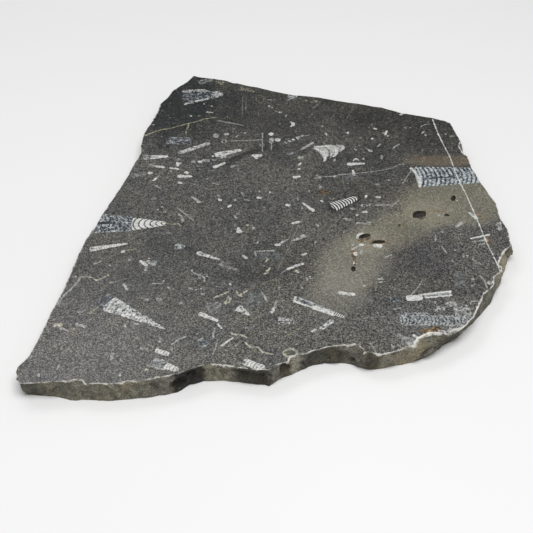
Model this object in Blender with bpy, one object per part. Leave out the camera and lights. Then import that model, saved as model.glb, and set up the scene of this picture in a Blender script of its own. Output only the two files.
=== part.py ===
"""Slab of orthoceras limestone, sawn flat above and below and broken off all round.

The polished face is up. The underside is a flat sawn face that the slab rests on. The origin is
under the middle of the slab, at the height of the underside, with +Z up.
"""

import math

import bpy
import bmesh
from mathutils import Matrix, Vector, noise
from mathutils.kdtree import KDTree

MM = 0.001

# Driving dimensions
THICKNESS = 21.5 * MM
FACET = 4 * MM
ROW_HEIGHTS = (3 * MM, 6.5 * MM, 10 * MM, 14 * MM, 18 * MM)
FOOT_CHAMFER = 0.4 * MM

# Roughness of the break: a jagged rim, flake scars that each slant their own way, and a grain
RIM_JAG = 0.8 * MM
RIM_JAG_SPACING = 9 * MM
SCAR_SPACING = 15 * MM
SCAR_STEP = 1.1 * MM
SCAR_SLANT = 0.5
SCAR_SHARE_AT_EDGES = 0.25
GRAIN_DEPTH = 0.6 * MM
GRAIN_SPACING = 5 * MM

# Scales at which the noise picks a scar's slant and its step
PICK_SLANT = 900.0
PICK_STEP = 700.0

# The balls that cut chips: how much wider than the chip, and how strongly dented
BALL_LENGTH = 1.2
BALL_DEPTH = 2.2
DENT_SHARE = 0.3
BALL_FACETING = 2
DENTS_ACROSS = 1.7

# Tolerances for finding the rim, the foot and the two flat faces
SAME_HEIGHT = 0.1 * MM
SAME_POINT = 0.01 * MM
LEVEL_NORMAL = 0.9

# Rim of the polished face in millimetres, anticlockwise seen from above. The third value of each
# point is how far the foot of the broken wall stands outside the rim, so a negative one is an
# undercut.
LEFT_SIDE = (
    (-96, 246, 0),
    (-104, 233, 1),
    (-118, 216, 2),
    (-125, 199, 1),
    (-132, 187, 0),
    (-135, 170, 0),
    (-140, 150, 1),
    (-146, 130, 1),
    (-148, 106, 0),
    (-145, 98, 0),
    (-151, 79, -1),
    (-158, 51, -2),
    (-167, 22, -1),
    (-178, -11, 0),
    (-184, -33, 0),
    (-191, -52, 1),
    (-197, -84, 0),
    (-200, -105, 0),
    (-204, -126, 0),
    (-212, -158, -1),
    (-216, -180, -2),
    (-223, -210, -3),
    (-233, -227, -4),
    (-232, -236, -5),
)
FRONT_SIDE = (
    (-227, -244, -6),
    (-215, -244, -5),
    (-200, -242, -1),
    (-183, -241, 4),
    (-170, -245, 1),
    (-148, -244, 2),
    (-125, -243, 0),
    (-113, -239, 3),
    (-91, -233, 3),
    (-79, -228, -1),
    (-67, -222, 0),
    (-57, -221, 1),
    (-44, -223, -1),
    (-31, -226, -2),
    (-19, -228, -2),
    (-8, -228, 0),
    (3, -220, -1),
    (9, -218, -2),
    (16, -212, 0),
    (22, -209, -1),
    (33, -204, -1),
    (43, -200, 0),
    (53, -198, 2),
    (62, -197, 3),
    (70, -202, 0),
    (79, -209, -2),
    (89, -210, -2),
    (102, -207, -2),
    (117, -201, 0),
    (132, -198, -2),
    (146, -193, -6),
)
RIGHT_SIDE = (
    (158, -186, -9),
    (171, -175, -8),
    (183, -160, -6),
    (190, -144, -1),
    (196, -130, 3),
    (207, -117, 1),
    (213, -103, 1),
    (218, -96, 0),
    (219, -85, 3),
    (225, -68, 4),
    (232, -59, 0),
    (233, -47, 2),
    (232, -34, 3),
    (228, -18, 3),
    (227, 6, 2),
    (220, 28, 2),
    (215, 43, 1),
    (211, 60, 1),
    (209, 69, 0),
    (208, 84, 0),
    (203, 116, 0),
    (199, 134, 1),
    (196, 150, 1),
)
BACK_SIDE = (
    (190, 154, 1),
    (175, 160, 0),
    (158, 165, -1),
    (141, 171, -1),
    (121, 180, 0),
    (91, 189, 1),
    (70, 194, 1),
    (50, 201, 0),
    (22, 205, -1),
    (2, 212, 0),
    (-18, 220, 1),
    (-40, 228, 1),
    (-51, 232, 0),
    (-58, 236, -1),
    (-72, 240, -1),
    (-87, 242, 0),
)

# Shells that chips have left in the rim: middle (x, y), half length along the rim, reach inwards
# and depth below the polished face, in millimetres, and the direction in degrees in which the rim
# runs there, anticlockwise round the slab
RIM_CHIPS = (
    ((206, 101), 19, 4.0, 6.0, 98),
    ((138, -192), 23, 10.0, 1.5, 24),
    ((158, -186), 15, 4.0, 4.0, 38),
    ((222, -77), 14, 2.5, 6.0, 62),
    ((120, -201), 10, 3.0, 3.0, 14),
    ((213, -104), 9, 2.0, 4.0, 50),
    ((84, -209), 8, 2.5, 3.0, -15),
    ((70, -201), 9, 5.0, 6.0, -30),
    ((15, -213), 8, 3.0, 7.0, 45),
    ((-1, -224), 7, 2.0, 4.0, 40),
    ((-131, -243), 8, 1.5, 3.0, 5),
    ((-176, -242), 8, 2.5, 4.0, -10),
    ((-232, -231), 7, 2.5, 5.0, -84),
    ((-147, 101), 5, 3.0, 5.0, 255),
    ((-138, 163), 10, 1.5, 6.0, 254),
    ((-51, 233), 9, 2.0, 4.0, 155),
    ((141, 172), 8, 2.0, 3.0, 152),
)

# Hollows broken into the wall: middle (x, y, height), half width along the rim, half height and
# depth into the wall, in millimetres, and the direction of the rim there in degrees
WALL_HOLLOWS = (
    ((-200, -243, 5.3), 10, 4.5, 3.0, 2),
    ((-150, -247, 7.7), 12, 5.0, 2.5, 2),
    ((-87, -234, 11.3), 8, 7.0, 6.0, 24),
    ((-75, -228, 15.4), 9, 3.0, 6.0, 28),
    ((-52, -225, 10.6), 15, 10.0, 5.0, 0),
    ((-33, -227, 14.6), 15, 4.5, 5.0, -12),
    ((-14, -229, 11.7), 12, 5.5, 5.0, -4),
    ((6, -220, 13.2), 6, 5.5, 6.5, 30),
    ((36, -204, 11.4), 16, 8.5, 3.0, 14),
    ((66, -201, 7.3), 6, 4.0, 4.0, -30),
    ((90, -211, 5.4), 5, 5.0, 4.0, 4),
    ((118, -204, 7.6), 12, 5.0, 2.5, 18),
    ((228, -4, 9.2), 12, 6.0, 3.0, 90),
    ((0, 213, 9.3), 14, 6.0, 3.0, 160),
    ((-181, -30, 10.7), 12, 6.0, 3.0, 255),
)

# Open pits in the polished face: middle (x, y), half length, half width and depth in millimetres,
# and turn in degrees
PITS = (
    ((146, -11), 8.0, 5.6, 5.0, 25),
    ((184, 15), 5.2, 2.4, 3.0, 74),
    ((174, -12), 3.0, 1.8, 2.0, -8),
    ((88, -45), 6.5, 3.2, 3.5, 20),
    ((101, -54), 6.5, 2.6, 3.0, 4),
    ((74, -94), 2.4, 4.2, 3.0, -8),
)


def rim_points():
    """The rim as (x, y, lean) in metres, cut into facets of even length with a jagged line."""
    corners = [Vector(point) * MM for point in LEFT_SIDE + FRONT_SIDE + RIGHT_SIDE + BACK_SIDE]
    points = []
    for start, end in zip(corners, corners[1:] + corners[:1]):
        run = (end - start).xy
        across = Vector((run.y, -run.x)).normalized()
        steps = max(1, round(run.length / FACET))
        for step in range(steps):
            point = start.lerp(end, step / steps)
            jag = noise.noise(Vector((point.x, point.y, 0.0)) / RIM_JAG_SPACING) * RIM_JAG
            points.append(Vector((point.x + across.x * jag, point.y + across.y * jag, point.z)))
    return points


def outward_directions(points):
    """The level direction that points out of the stone at each point of the rim."""
    directions = []
    for index, point in enumerate(points):
        run = points[(index + 1) % len(points)] - points[index - 1]
        directions.append(Vector((run.y, -run.x, 0.0)).normalized())
    return directions


def scarring(place):
    """How far the broken wall stands out of its mean face at a place on it.

    Each scar is the cell round one scattered point, and that point picks its slant and step.
    """
    middle = noise.voronoi(place / SCAR_SPACING)[1][0] * SCAR_SPACING
    slant = (noise.cell_vector(middle * PICK_SLANT) - Vector((0.5, 0.5, 0.5))) * SCAR_SLANT
    step = noise.cell(middle * PICK_STEP) * SCAR_STEP
    grain = noise.noise(place / GRAIN_SPACING) * GRAIN_DEPTH
    return slant.dot(place - middle) + step + grain


def mesh_from_outline(points, name):
    """A straight-walled slab from a filled flat curve, as a closed mesh object."""
    outline = bpy.data.curves.new(name + "_outline", "CURVE")
    outline.dimensions = "2D"
    outline.fill_mode = "BOTH"
    outline.extrude = THICKNESS / 2
    spline = outline.splines.new("POLY")
    spline.points.add(len(points) - 1)
    for spline_point, point in zip(spline.points, points):
        spline_point.co = (point.x, point.y, 0.0, 1.0)
    spline.use_cyclic_u = True
    curve_object = bpy.data.objects.new(name + "_outline", outline)
    curve_object.location.z = THICKNESS / 2
    bpy.context.scene.collection.objects.link(curve_object)
    bpy.context.view_layer.update()

    evaluated = curve_object.evaluated_get(bpy.context.evaluated_depsgraph_get())
    mesh = bpy.data.meshes.new_from_object(evaluated)
    mesh.transform(curve_object.matrix_world)
    bpy.data.objects.remove(curve_object)
    bpy.data.curves.remove(outline)
    return mesh


def break_wall(mesh, points):
    """Cuts the wall into rows of facets and moves them to the shape of the break."""
    bm = bmesh.new()
    bm.from_mesh(mesh)
    bmesh.ops.remove_doubles(bm, verts=bm.verts, dist=SAME_POINT)
    caps = [face for face in bm.faces if face.normal.z > LEVEL_NORMAL]
    bmesh.ops.dissolve_faces(bm, faces=caps)
    caps = [face for face in bm.faces if face.normal.z < -LEVEL_NORMAL]
    bmesh.ops.dissolve_faces(bm, faces=caps)
    for height in ROW_HEIGHTS:
        everything = bm.verts[:] + bm.edges[:] + bm.faces[:]
        bmesh.ops.bisect_plane(bm, geom=everything, plane_co=(0, 0, height), plane_no=(0, 0, 1))

    nearest = KDTree(len(points))
    for index, point in enumerate(points):
        nearest.insert((point.x, point.y, 0.0), index)
    nearest.balance()
    outward = outward_directions(points)
    for vert in bm.verts:
        if vert.co.z > THICKNESS - SAME_HEIGHT:
            continue
        index = nearest.find((vert.co.x, vert.co.y, 0.0))[1]
        below_rim = 1 - vert.co.z / THICKNESS
        share = SCAR_SHARE_AT_EDGES + (1 - SCAR_SHARE_AT_EDGES) * math.sin(math.pi * below_rim)
        stand_out = points[index].z * below_rim + scarring(vert.co) * share
        if vert.co.z < SAME_HEIGHT:
            stand_out -= FOOT_CHAMFER
        vert.co += outward[index] * stand_out

    bmesh.ops.triangulate(bm, faces=bm.faces)
    bmesh.ops.recalc_face_normals(bm, faces=bm.faces)
    bm.to_mesh(mesh)
    bm.free()


def scoop_cutter(name, collection, scoops):
    """One cutter object that holds a squashed and dented ball for each scoop."""
    bm = bmesh.new()
    for middle, half_sizes, turn in scoops:
        ball = bmesh.ops.create_icosphere(bm, subdivisions=BALL_FACETING, radius=1.0)["verts"]
        for vert in ball:
            dent = noise.noise(vert.co * DENTS_ACROSS + middle / GRAIN_SPACING)
            vert.co *= 1 + DENT_SHARE * dent
        place = Matrix.Translation(middle) @ Matrix.Rotation(turn, 4, "Z")
        bmesh.ops.transform(bm, matrix=place @ Matrix.Diagonal((*half_sizes, 1.0)), verts=ball)
    mesh = bpy.data.meshes.new(name)
    bm.to_mesh(mesh)
    bm.free()
    cutter = bpy.data.objects.new(name, mesh)
    cutter.hide_render = True
    cutter.display_type = "WIRE"
    collection.objects.link(cutter)
    return cutter


def rim_chip_scoops():
    """Wide balls that stand above and outside the rim, so that each bites a shallow shell."""
    scoops = []
    for (x, y), half_length, reach, depth, turn in RIM_CHIPS:
        along = math.radians(turn)
        outward = Vector((math.sin(along), -math.cos(along), 0.0))
        middle = Vector((x * MM, y * MM, THICKNESS)) + outward * reach * MM
        middle.z += depth * MM
        half_sizes = (half_length * BALL_LENGTH, reach * BALL_DEPTH, depth * BALL_DEPTH)
        scoops.append((middle, Vector(half_sizes) * MM, along))
    return scoops


def wall_hollow_scoops():
    """Balls that stand in the wall's face, level with the hollow that each one leaves."""
    scoops = []
    for (x, y, height), half_width, half_height, depth, turn in WALL_HOLLOWS:
        middle = Vector((x, y, height)) * MM
        scoops.append((middle, Vector((half_width, depth, half_height)) * MM, math.radians(turn)))
    return scoops


def pit_scoops():
    """Balls in the polished face, one for each pit."""
    scoops = []
    for (x, y), half_length, half_width, depth, turn in PITS:
        middle = Vector((x * MM, y * MM, THICKNESS))
        scoops.append((middle, Vector((half_length, half_width, depth)) * MM, math.radians(turn)))
    return scoops


def cut(target, cutter):
    """Takes the cutter's shape out of the target."""
    modifier = target.modifiers.new("cut_" + cutter.name, "BOOLEAN")
    modifier.operation = "DIFFERENCE"
    modifier.solver = "EXACT"
    modifier.object = cutter


def limestone():
    """Dark grey-brown limestone with a polish."""
    material = bpy.data.materials.new("limestone")
    material.use_nodes = True
    shader = material.node_tree.nodes["Principled BSDF"]
    shader.inputs["Base Color"].default_value = (0.115, 0.11, 0.10, 1.0)
    shader.inputs["Roughness"].default_value = 0.35
    shader.inputs["Metallic"].default_value = 0.0
    return material


def centre_on_base(mesh):
    """Moves the mesh so that the origin lies under the middle of its box."""
    lows = [min(vert.co[axis] for vert in mesh.vertices) for axis in range(3)]
    highs = [max(vert.co[axis] for vert in mesh.vertices) for axis in range(3)]
    shift = Vector(((lows[0] + highs[0]) / -2, (lows[1] + highs[1]) / -2, -lows[2]))
    mesh.transform(Matrix.Translation(shift))
    return shift


def make_slab(parts, cutters):
    """The slab with its broken wall, chipped rim and pits."""
    points = rim_points()
    mesh = mesh_from_outline(points, "slab")
    mesh.name = "slab"
    break_wall(mesh, points)
    shift = centre_on_base(mesh)
    mesh.materials.append(limestone())
    slab = bpy.data.objects.new("slab", mesh)
    parts.objects.link(slab)
    scoop_groups = {
        "rim_chips": rim_chip_scoops(),
        "wall_hollows": wall_hollow_scoops(),
        "pits": pit_scoops(),
    }
    for name, scoops in scoop_groups.items():
        # neighbours in the list overlap, so they go to different cutters
        for side, share in (("odd", scoops[0::2]), ("even", scoops[1::2])):
            cutter = scoop_cutter(name + "_" + side, cutters, share)
            cutter.data.transform(Matrix.Translation(shift))
            cut(slab, cutter)
    return slab


def main():
    for old in list(bpy.data.objects):
        bpy.data.objects.remove(old)
    parts = bpy.data.collections.new("orthoceras_slab")
    cutters = bpy.data.collections.new("cutters")
    bpy.context.scene.collection.children.link(parts)
    bpy.context.scene.collection.children.link(cutters)
    make_slab(parts, cutters)


main()
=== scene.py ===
"""Studio picture of a polished slab of orthoceras limestone.

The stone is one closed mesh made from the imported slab. Its polished face carries the cut shells
as colour: each shell is laid out in millimetres as straight or bent tapering pieces of calcite,
and every piece writes its own lengthwise and crosswise millimetres on the faces it covers.
"""

import math

import bmesh
import bpy
import numpy as np
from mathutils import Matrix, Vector, noise
from mathutils.kdtree import KDTree


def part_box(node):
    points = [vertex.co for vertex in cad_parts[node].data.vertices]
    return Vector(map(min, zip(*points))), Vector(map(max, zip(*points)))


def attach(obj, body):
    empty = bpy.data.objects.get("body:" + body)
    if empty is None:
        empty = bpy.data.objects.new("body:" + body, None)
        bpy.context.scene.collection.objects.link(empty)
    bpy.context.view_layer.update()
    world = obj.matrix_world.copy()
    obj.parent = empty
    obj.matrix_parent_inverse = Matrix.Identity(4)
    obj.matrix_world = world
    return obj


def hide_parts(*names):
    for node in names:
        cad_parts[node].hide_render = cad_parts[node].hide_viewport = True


MM = 0.001

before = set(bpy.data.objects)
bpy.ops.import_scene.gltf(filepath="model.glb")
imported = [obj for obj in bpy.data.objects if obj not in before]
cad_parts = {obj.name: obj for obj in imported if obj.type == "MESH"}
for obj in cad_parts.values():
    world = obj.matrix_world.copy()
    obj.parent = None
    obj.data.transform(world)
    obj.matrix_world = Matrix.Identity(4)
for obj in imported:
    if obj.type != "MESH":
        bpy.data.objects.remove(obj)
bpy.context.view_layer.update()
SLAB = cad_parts["slab"]
SLAB_LOW, SLAB_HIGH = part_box("slab")
TOP = SLAB_HIGH[2]

# The shells were measured on a plan of the face whose origin lies here in the slab's frame
PLAN_ORIGIN = (-1.0, -0.7)

# Sizes below are in mm. The face is cut into cells, the wall into facets with a grain of their own
FACE_GRID = 3.0
WALL_FACET = 1.6
WALL_GRAIN = 0.55
WALL_GRAIN_SPACING = 2.6
WELD = 0.001
LEVEL_SLACK = 0.01
# The wall's grain leaves this much at the rim and at the foot, and never comes nearer than the skin
STILL_BAND = 0.05
SKIN = 0.02

# The marks on the face lie in layers, and each layer writes these vectors on the face's corners
LAYERS = 6
# A mark is painted above the earlier marks that have cells within this many mm of it
OVERLAP = 1.5
LAYER_PARTS = ("place", "size", "tone", "outline", "chambers", "form")
# A mark writes the cells whose middles lie within this many mm of it
CELL_REACH = 2.4
# The rounded end of a mark is at most this long in mm
CAP_DEPTH = 2.6

SURFACES = ("polished", "broken", "sawn", "pit")

# Crumbs of shell in the rock: net in mm, radius in mm, share of the net's cells, colour, and for
# short dashes their turn in degrees and how long they are for their width
SHELL_CRUMBS = (
    (3.0, 0.62, 0.50, (0.34, 0.33, 0.30)),
    (4.2, 0.8, 0.40, (0.012, 0.012, 0.013)),
    (3.6, 0.42, 0.34, (0.50, 0.49, 0.45), 28, 3.2),
    (3.9, 0.42, 0.32, (0.48, 0.47, 0.43), 115, 3.2),
    (3.9, 0.42, 0.32, (0.48, 0.46, 0.41), -20, 3.6),
    (6.5, 0.30, 0.22, (0.34, 0.33, 0.31), 34, 13.0),
    (7.5, 0.30, 0.18, (0.34, 0.33, 0.31), 124, 11.0),
    (13.0, 1.3, 0.30, (0.50, 0.48, 0.42)),
)

# The rock's darkest and lightest grain
ROCK_DARK = (0.014, 0.0139, 0.0132)
ROCK_LIGHT = (0.232, 0.229, 0.213)
CRUSHED_WHITE = (0.74, 0.73, 0.68)

CAMERA_ELEVATION = 42.0
CAMERA_DISTANCE = 1.2
CAMERA_LENS = 1200 / 533 * 36
CAMERA_AIM = (-0.0115, -0.0675, 0.0)

FLOOR_REACH = 6.0
AIR_BRIGHTNESS = 0.32
# Name, width and height in metres, brightness, place and aim
SOFTBOXES = (
    ("overhead_softbox", (1.4, 1.2), 6.2, (0.2, -0.7, 2.0), (0, 0, 0)),
    ("back_left_softbox", (1.6, 0.8), 2.2, (-0.9, 1.1, 2.1), (-0.1, -0.1, 0)),
)

# How the calcite of a piece looks: brightness from 0 to 1, tint (below 0 bluish, above 0 creamy,
# 2 rusty), mottling, cover over the rock, raggedness of the outline in mm; then, if it has chambers,
# their spacing in mm, how far each wall bulges towards the end (below 0 towards the start), how dark
# the walls are, how much of the spacing they take, and how wavy they are in mm; and last how much
# brighter the outline is
NO_CHAMBERS = (0, 0, 0, 0, 0)
LOOKS = {
    "white": (0.74, 0.0, 0.55, 0.95, 0.5, 0.1),
    "soft": (0.50, 0.0, 0.6, 0.8, 0.6, 0.0),
    "grey": (0.34, -0.2, 0.6, 0.75, 0.7, 0.1),
    "blue_grey": (0.36, -0.5, 0.8, 0.8, 0.8, 0.15),
    "ghost": (0.30, -0.2, 0.7, 0.5, 1.0, 0.0),
    "smoke": (0.16, -0.6, 0.5, 0.5, 1.6, 0.0),
    "cream": (0.56, 0.5, 0.6, 0.8, 0.6, 0.0),
    "yellow": (0.42, 0.9, 0.5, 0.7, 0.5, 0.0),
    "olive": (0.20, 1.0, 0.5, 0.6, 0.5, 0.0),
    "warm_ghost": (0.28, 0.7, 0.9, 0.55, 1.2, 0.0),
    "thread": (0.52, 0.1, 0.5, 0.65, 0.4, 0.0),
    "faint": (0.34, 0.1, 0.5, 0.4, 0.4, 0.0),
    "dark": (0.03, -0.2, 0.3, 0.75, 0.7, 0.0),
    "black": (0.0, -0.1, 0.2, 0.92, 0.8, 0.0),
    "dark_blue": (0.06, -1.0, 0.7, 0.85, 0.8, 0.2),
    "rust": (0.12, 2.2, 0.6, 0.7, 1.0, 0.0),
    "mottled": (0.46, -0.2, 1.3, 0.85, 0.8, 0.1),
    "bright_mottled": (0.66, -0.15, 1.1, 0.95, 0.6, 0.15),
    "net": (0.60, -0.25, 1.1, 0.97, 0.7, 3.4, -1.5, 0.22, 0.4, 0.6, 0.2),
    "smoky": (0.06, -0.7, 1.0, 0.85, 1.0, 0.25),
    "shell_blue": (0.56, -0.9, 0.9, 0.97, 0.8, 4.7, 3.2, 0.55, 0.55, 0.7, 0.3),
    "shell_dark": (0.24, -0.8, 1.3, 0.95, 0.8, 3.8, 3.5, 0.28, 0.45, 0.9, 0.3),
    "horn": (0.66, -0.1, 0.6, 0.92, 0.5, 7.0, 3.8, 0.6, 0.3, 0.4, 0.05),
    "chambers": (0.88, -0.1, 0.6, 0.95, 0.6, 5.7, -4.2, 0.9, 0.36, 0.4, 0.05),
    "fine_chambers": (0.82, -0.05, 0.6, 0.95, 0.4, 2.5, -0.7, 0.4, 0.32, 0.25, 0.1),
    "small_chambers": (0.85, -0.1, 0.5, 0.95, 0.4, 3.1, -1.0, 0.7, 0.3, 0.25, 0.05),
    "beads": (0.85, -0.2, 0.2, 0.97, 0.3, 2.0, -0.4, 1.0, 0.5, 0.1, 0.0),
    "striped": (0.9, 0.0, 0.4, 0.97, 0.6, 3.25, 1.7, 1.1, 0.6, 0.15, 0.0),
    "ribbed": (0.50, -0.1, 0.5, 0.8, 0.4, 1.5, 0.0, 0.5, 0.4, 0.1, 0.0),
    "feather": (0.75, 0.0, 0.6, 0.95, 0.4, 2.2, 0.0, 0.35, 0.3, 0.2, 0.05),
    "frosty": (0.42, -0.3, 1.0, 0.75, 2.0, 0.1),
    "frosty_shell": (0.42, -0.5, 0.8, 0.85, 1.4, 3.4, 2.5, 0.35, 0.4, 0.6, 0.2),
}

# Pieces of calcite on the polished face, painted in this order: look, start and end of the middle
# line, half width at the start and at the end, and for a bent piece how far its middle lies to the
# left of the straight line
BACK_LEFT_PIECES = (
    ("smoky", (-108, 200.5), (-61, 208.5), (15, 5)),
    ("mottled", (-108, 214), (-80, 215.5), (2.4, 2.2)),
    ("mottled", (-105, 187), (-66, 204), (1.5, 1.8)),
    ("mottled", (-74, 210), (-61, 208.5), (4.5, 3)),
    ("ghost", (-90, 231), (-74, 238), (4, 3)),
    ("soft", (-88, 236), (-81, 238), (1.2, 1)),
    ("warm_ghost", (-70, 234), (-58, 228), (3, 3)),
    ("warm_ghost", (-43, 220), (-25, 214), (3, 2.5)),
    ("olive", (-18, 207), (-18, 188), (0.9, 0.9), -4.5),
    ("olive", (-18, 207), (-18, 188), (0.9, 0.9), 4.5),
    ("thread", (-10, 196), (0, 196), (0.6, 0.6)),
    ("soft", (-9.3, 183.5), (-6, 183), (1.9, 1.8)),
    ("soft", (-5, 181), (-2.8, 180.5), (1.4, 1.2)),
    ("soft", (-79, 171.5), (-71, 170.5), (1.4, 1.0)),
    ("soft", (-97.2, 164), (-95, 164), (1.1, 1)),
    ("soft", (-74, 183), (-72, 183), (1, 1)),
    ("soft", (-83, 188), (-81, 188), (1, 1)),
    ("faint", (-38, 203), (-38, 165), (0.5, 0.5)),
    ("faint", (-34, 200), (-34, 173), (0.5, 0.5)),
    ("soft", (-67, 130), (-66, 122), (2.8, 2.5)),
    ("soft", (-58, 129), (-52, 129), (2.3, 2.2)),
    ("grey", (-57, 118.5), (-57, 111.5), (0.9, 0.9), 2.4),
    ("grey", (-57, 118.5), (-57, 111.5), (0.9, 0.9), -2.4),
    ("soft", (-48.4, 139), (-45.8, 139), (1.4, 1.3)),
    ("soft", (-35.4, 131), (-32.8, 131), (1.4, 1.3)),
    ("thread", (-45, 123), (-41, 127), (0.7, 0.6)),
    ("white", (-8, 129), (-2.5, 129), (3.1, 2.9)),
    ("mottled", (-5, 122), (-5, 112), (2.9, 2.2)),
    ("white", (-1.5, 118.5), (5, 117.5), (2.9, 2.7)),
    ("thread", (-5, 112), (-5.5, 97), (0.8, 0.5)),
    ("black", (-1, 106), (3.4, 108.5), (1.8, 1.6)),
    ("thread", (-15, 131), (-15, 97), (0.7, 0.6)),
    ("grey", (-17.6, 108), (-12.4, 108), (2.4, 2.3)),
    ("smoky", (-121, 117), (-93, 116), (6.5, 6)),
    ("ghost", (-117, 117), (-112, 117), (3, 3)),
    ("soft", (-134, 177), (-138, 159), (1.6, 1.3)),
    ("soft", (-138.5, 147), (-136, 147), (1.4, 1.3)),
)
BACK_PIECES = (
    ("blue_grey", (14, 204), (25, 202.5), (5, 4)),
    ("soft", (14, 195), (20, 200.5), (0.9, 0.9)),
    ("soft", (3, 171.2), (7, 170.6), (1.9, 1.7)),
    ("soft", (0, 173.5), (1.8, 173), (0.8, 0.8)),
    ("soft", (10.4, 162), (12.6, 166.3), (0.9, 1.1)),
    ("white", (16.5, 152.5), (17.5, 143), (1.7, 2.0), 2.6),
    ("dark", (23.5, 151), (23.5, 147), (1.4, 1.4)),
    ("warm_ghost", (33.3, 194.5), (36.5, 194), (1.7, 1.6)),
    ("warm_ghost", (40, 191.5), (48.5, 193.5), (1.6, 1.4)),
    ("faint", (42, 177), (52.5, 194), (0.9, 0.7)),
    ("faint", (76, 182), (76, 178), (0.7, 0.6)),
    ("faint", (38, 165), (38, 161), (0.9, 0.8)),
    ("faint", (53, 156), (53, 149), (0.6, 0.6)),
    ("soft", (50.8, 144), (52.8, 144), (1.1, 1.1)),
    ("soft", (70.3, 142), (71.9, 142), (0.9, 0.9)),
    ("soft", (54.4, 133), (56.2, 125.5), (0.9, 1.0), 0.5),
    ("faint", (56.2, 122), (56, 117), (0.7, 0.7)),
    ("yellow", (53, 112.5), (53, 109), (0.8, 0.8)),
    ("white", (80.4, 133.4), (79.9, 129.6), (1.4, 1.3)),
    ("soft", (77, 133), (77, 131), (0.9, 0.8)),
    ("ghost", (78.5, 122.5), (77.5, 119), (1.2, 1.1)),
    ("soft", (8, 112.5), (12.3, 113), (1.6, 1.5)),
    ("soft", (13.7, 117.5), (16.6, 114), (1.5, 1.4)),
    ("white", (17.3, 117.6), (21, 119), (1.8, 1.7)),
    ("soft", (22.3, 121), (27, 123), (2.4, 2.2)),
    ("soft", (27.8, 124.6), (30.6, 127.4), (1.7, 1.5)),
    ("faint", (31, 125), (38, 127.5), (1.4, 1.0)),
    ("soft", (26, 99.5), (33, 105.5), (0.8, 2.2)),
    ("soft", (32.5, 105), (41.5, 113.4), (2.2, 0.8)),
    ("smoke", (11, 91), (21, 96), (3, 2)),
    ("grey", (14.5, 91.5), (18.5, 95), (1.6, 1.5)),
    ("soft", (85.5, 102.6), (87.2, 98), (1.1, 1.0)),
    ("soft", (99.6, 100.4), (105.2, 95.7), (1.0, 1.2)),
    ("soft", (104.8, 95.7), (103.4, 99), (0.8, 0.6)),
    ("soft", (110.6, 105.4), (114.8, 110.9), (0.9, 0.9)),
    ("soft", (127.2, 101.8), (135.4, 110.8), (0.7, 1.0)),
    ("white", (105, 120), (107.6, 120.4), (1.7, 1.7)),
    ("white", (109, 139.8), (112.8, 138), (1.5, 1.9)),
    ("soft", (118, 131), (120.8, 131.4), (1.5, 1.3)),
    ("white", (123.7, 135.5), (120.9, 126.6), (1.1, 1.4)),
    ("soft", (124.2, 126.8), (123.2, 124.2), (0.9, 0.8)),
    ("faint", (103.3, 142.4), (105.8, 141.6), (1.1, 1.1)),
    ("faint", (107.4, 149), (107.4, 145.6), (0.8, 0.8)),
    ("ghost", (122.8, 150), (126, 150.4), (1.3, 1.2)),
    ("white", (140.2, 165.4), (143.4, 168.2), (1.6, 1.4)),
    ("soft", (143.8, 168.2), (148, 168.8), (1.0, 0.9)),
    ("warm_ghost", (143.6, 141), (147.2, 141.6), (1.2, 1.1)),
    ("soft", (114, 90), (114, 82.4), (1.0, 0.8)),
    ("soft", (93, 83.6), (95.4, 83), (1.0, 1.0)),
    ("soft", (186.6, 129), (189.6, 129), (1.4, 1.3)),
    ("soft", (192.6, 125.3), (197.4, 124.6), (0.9, 0.9)),
    ("soft", (165.4, 128.8), (166, 125.2), (0.9, 0.9)),
    ("soft", (165.4, 135.4), (162, 129.6), (0.8, 0.7)),
    ("soft", (162, 143), (174, 148), (0.7, 0.6), 1.6),
    ("soft", (149, 141), (151, 141), (0.9, 0.9)),
    ("soft", (104, 39), (108.4, 38.6), (1.2, 1.1)),
    ("soft", (116, 46), (121, 46.4), (1.0, 0.9)),
)
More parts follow.
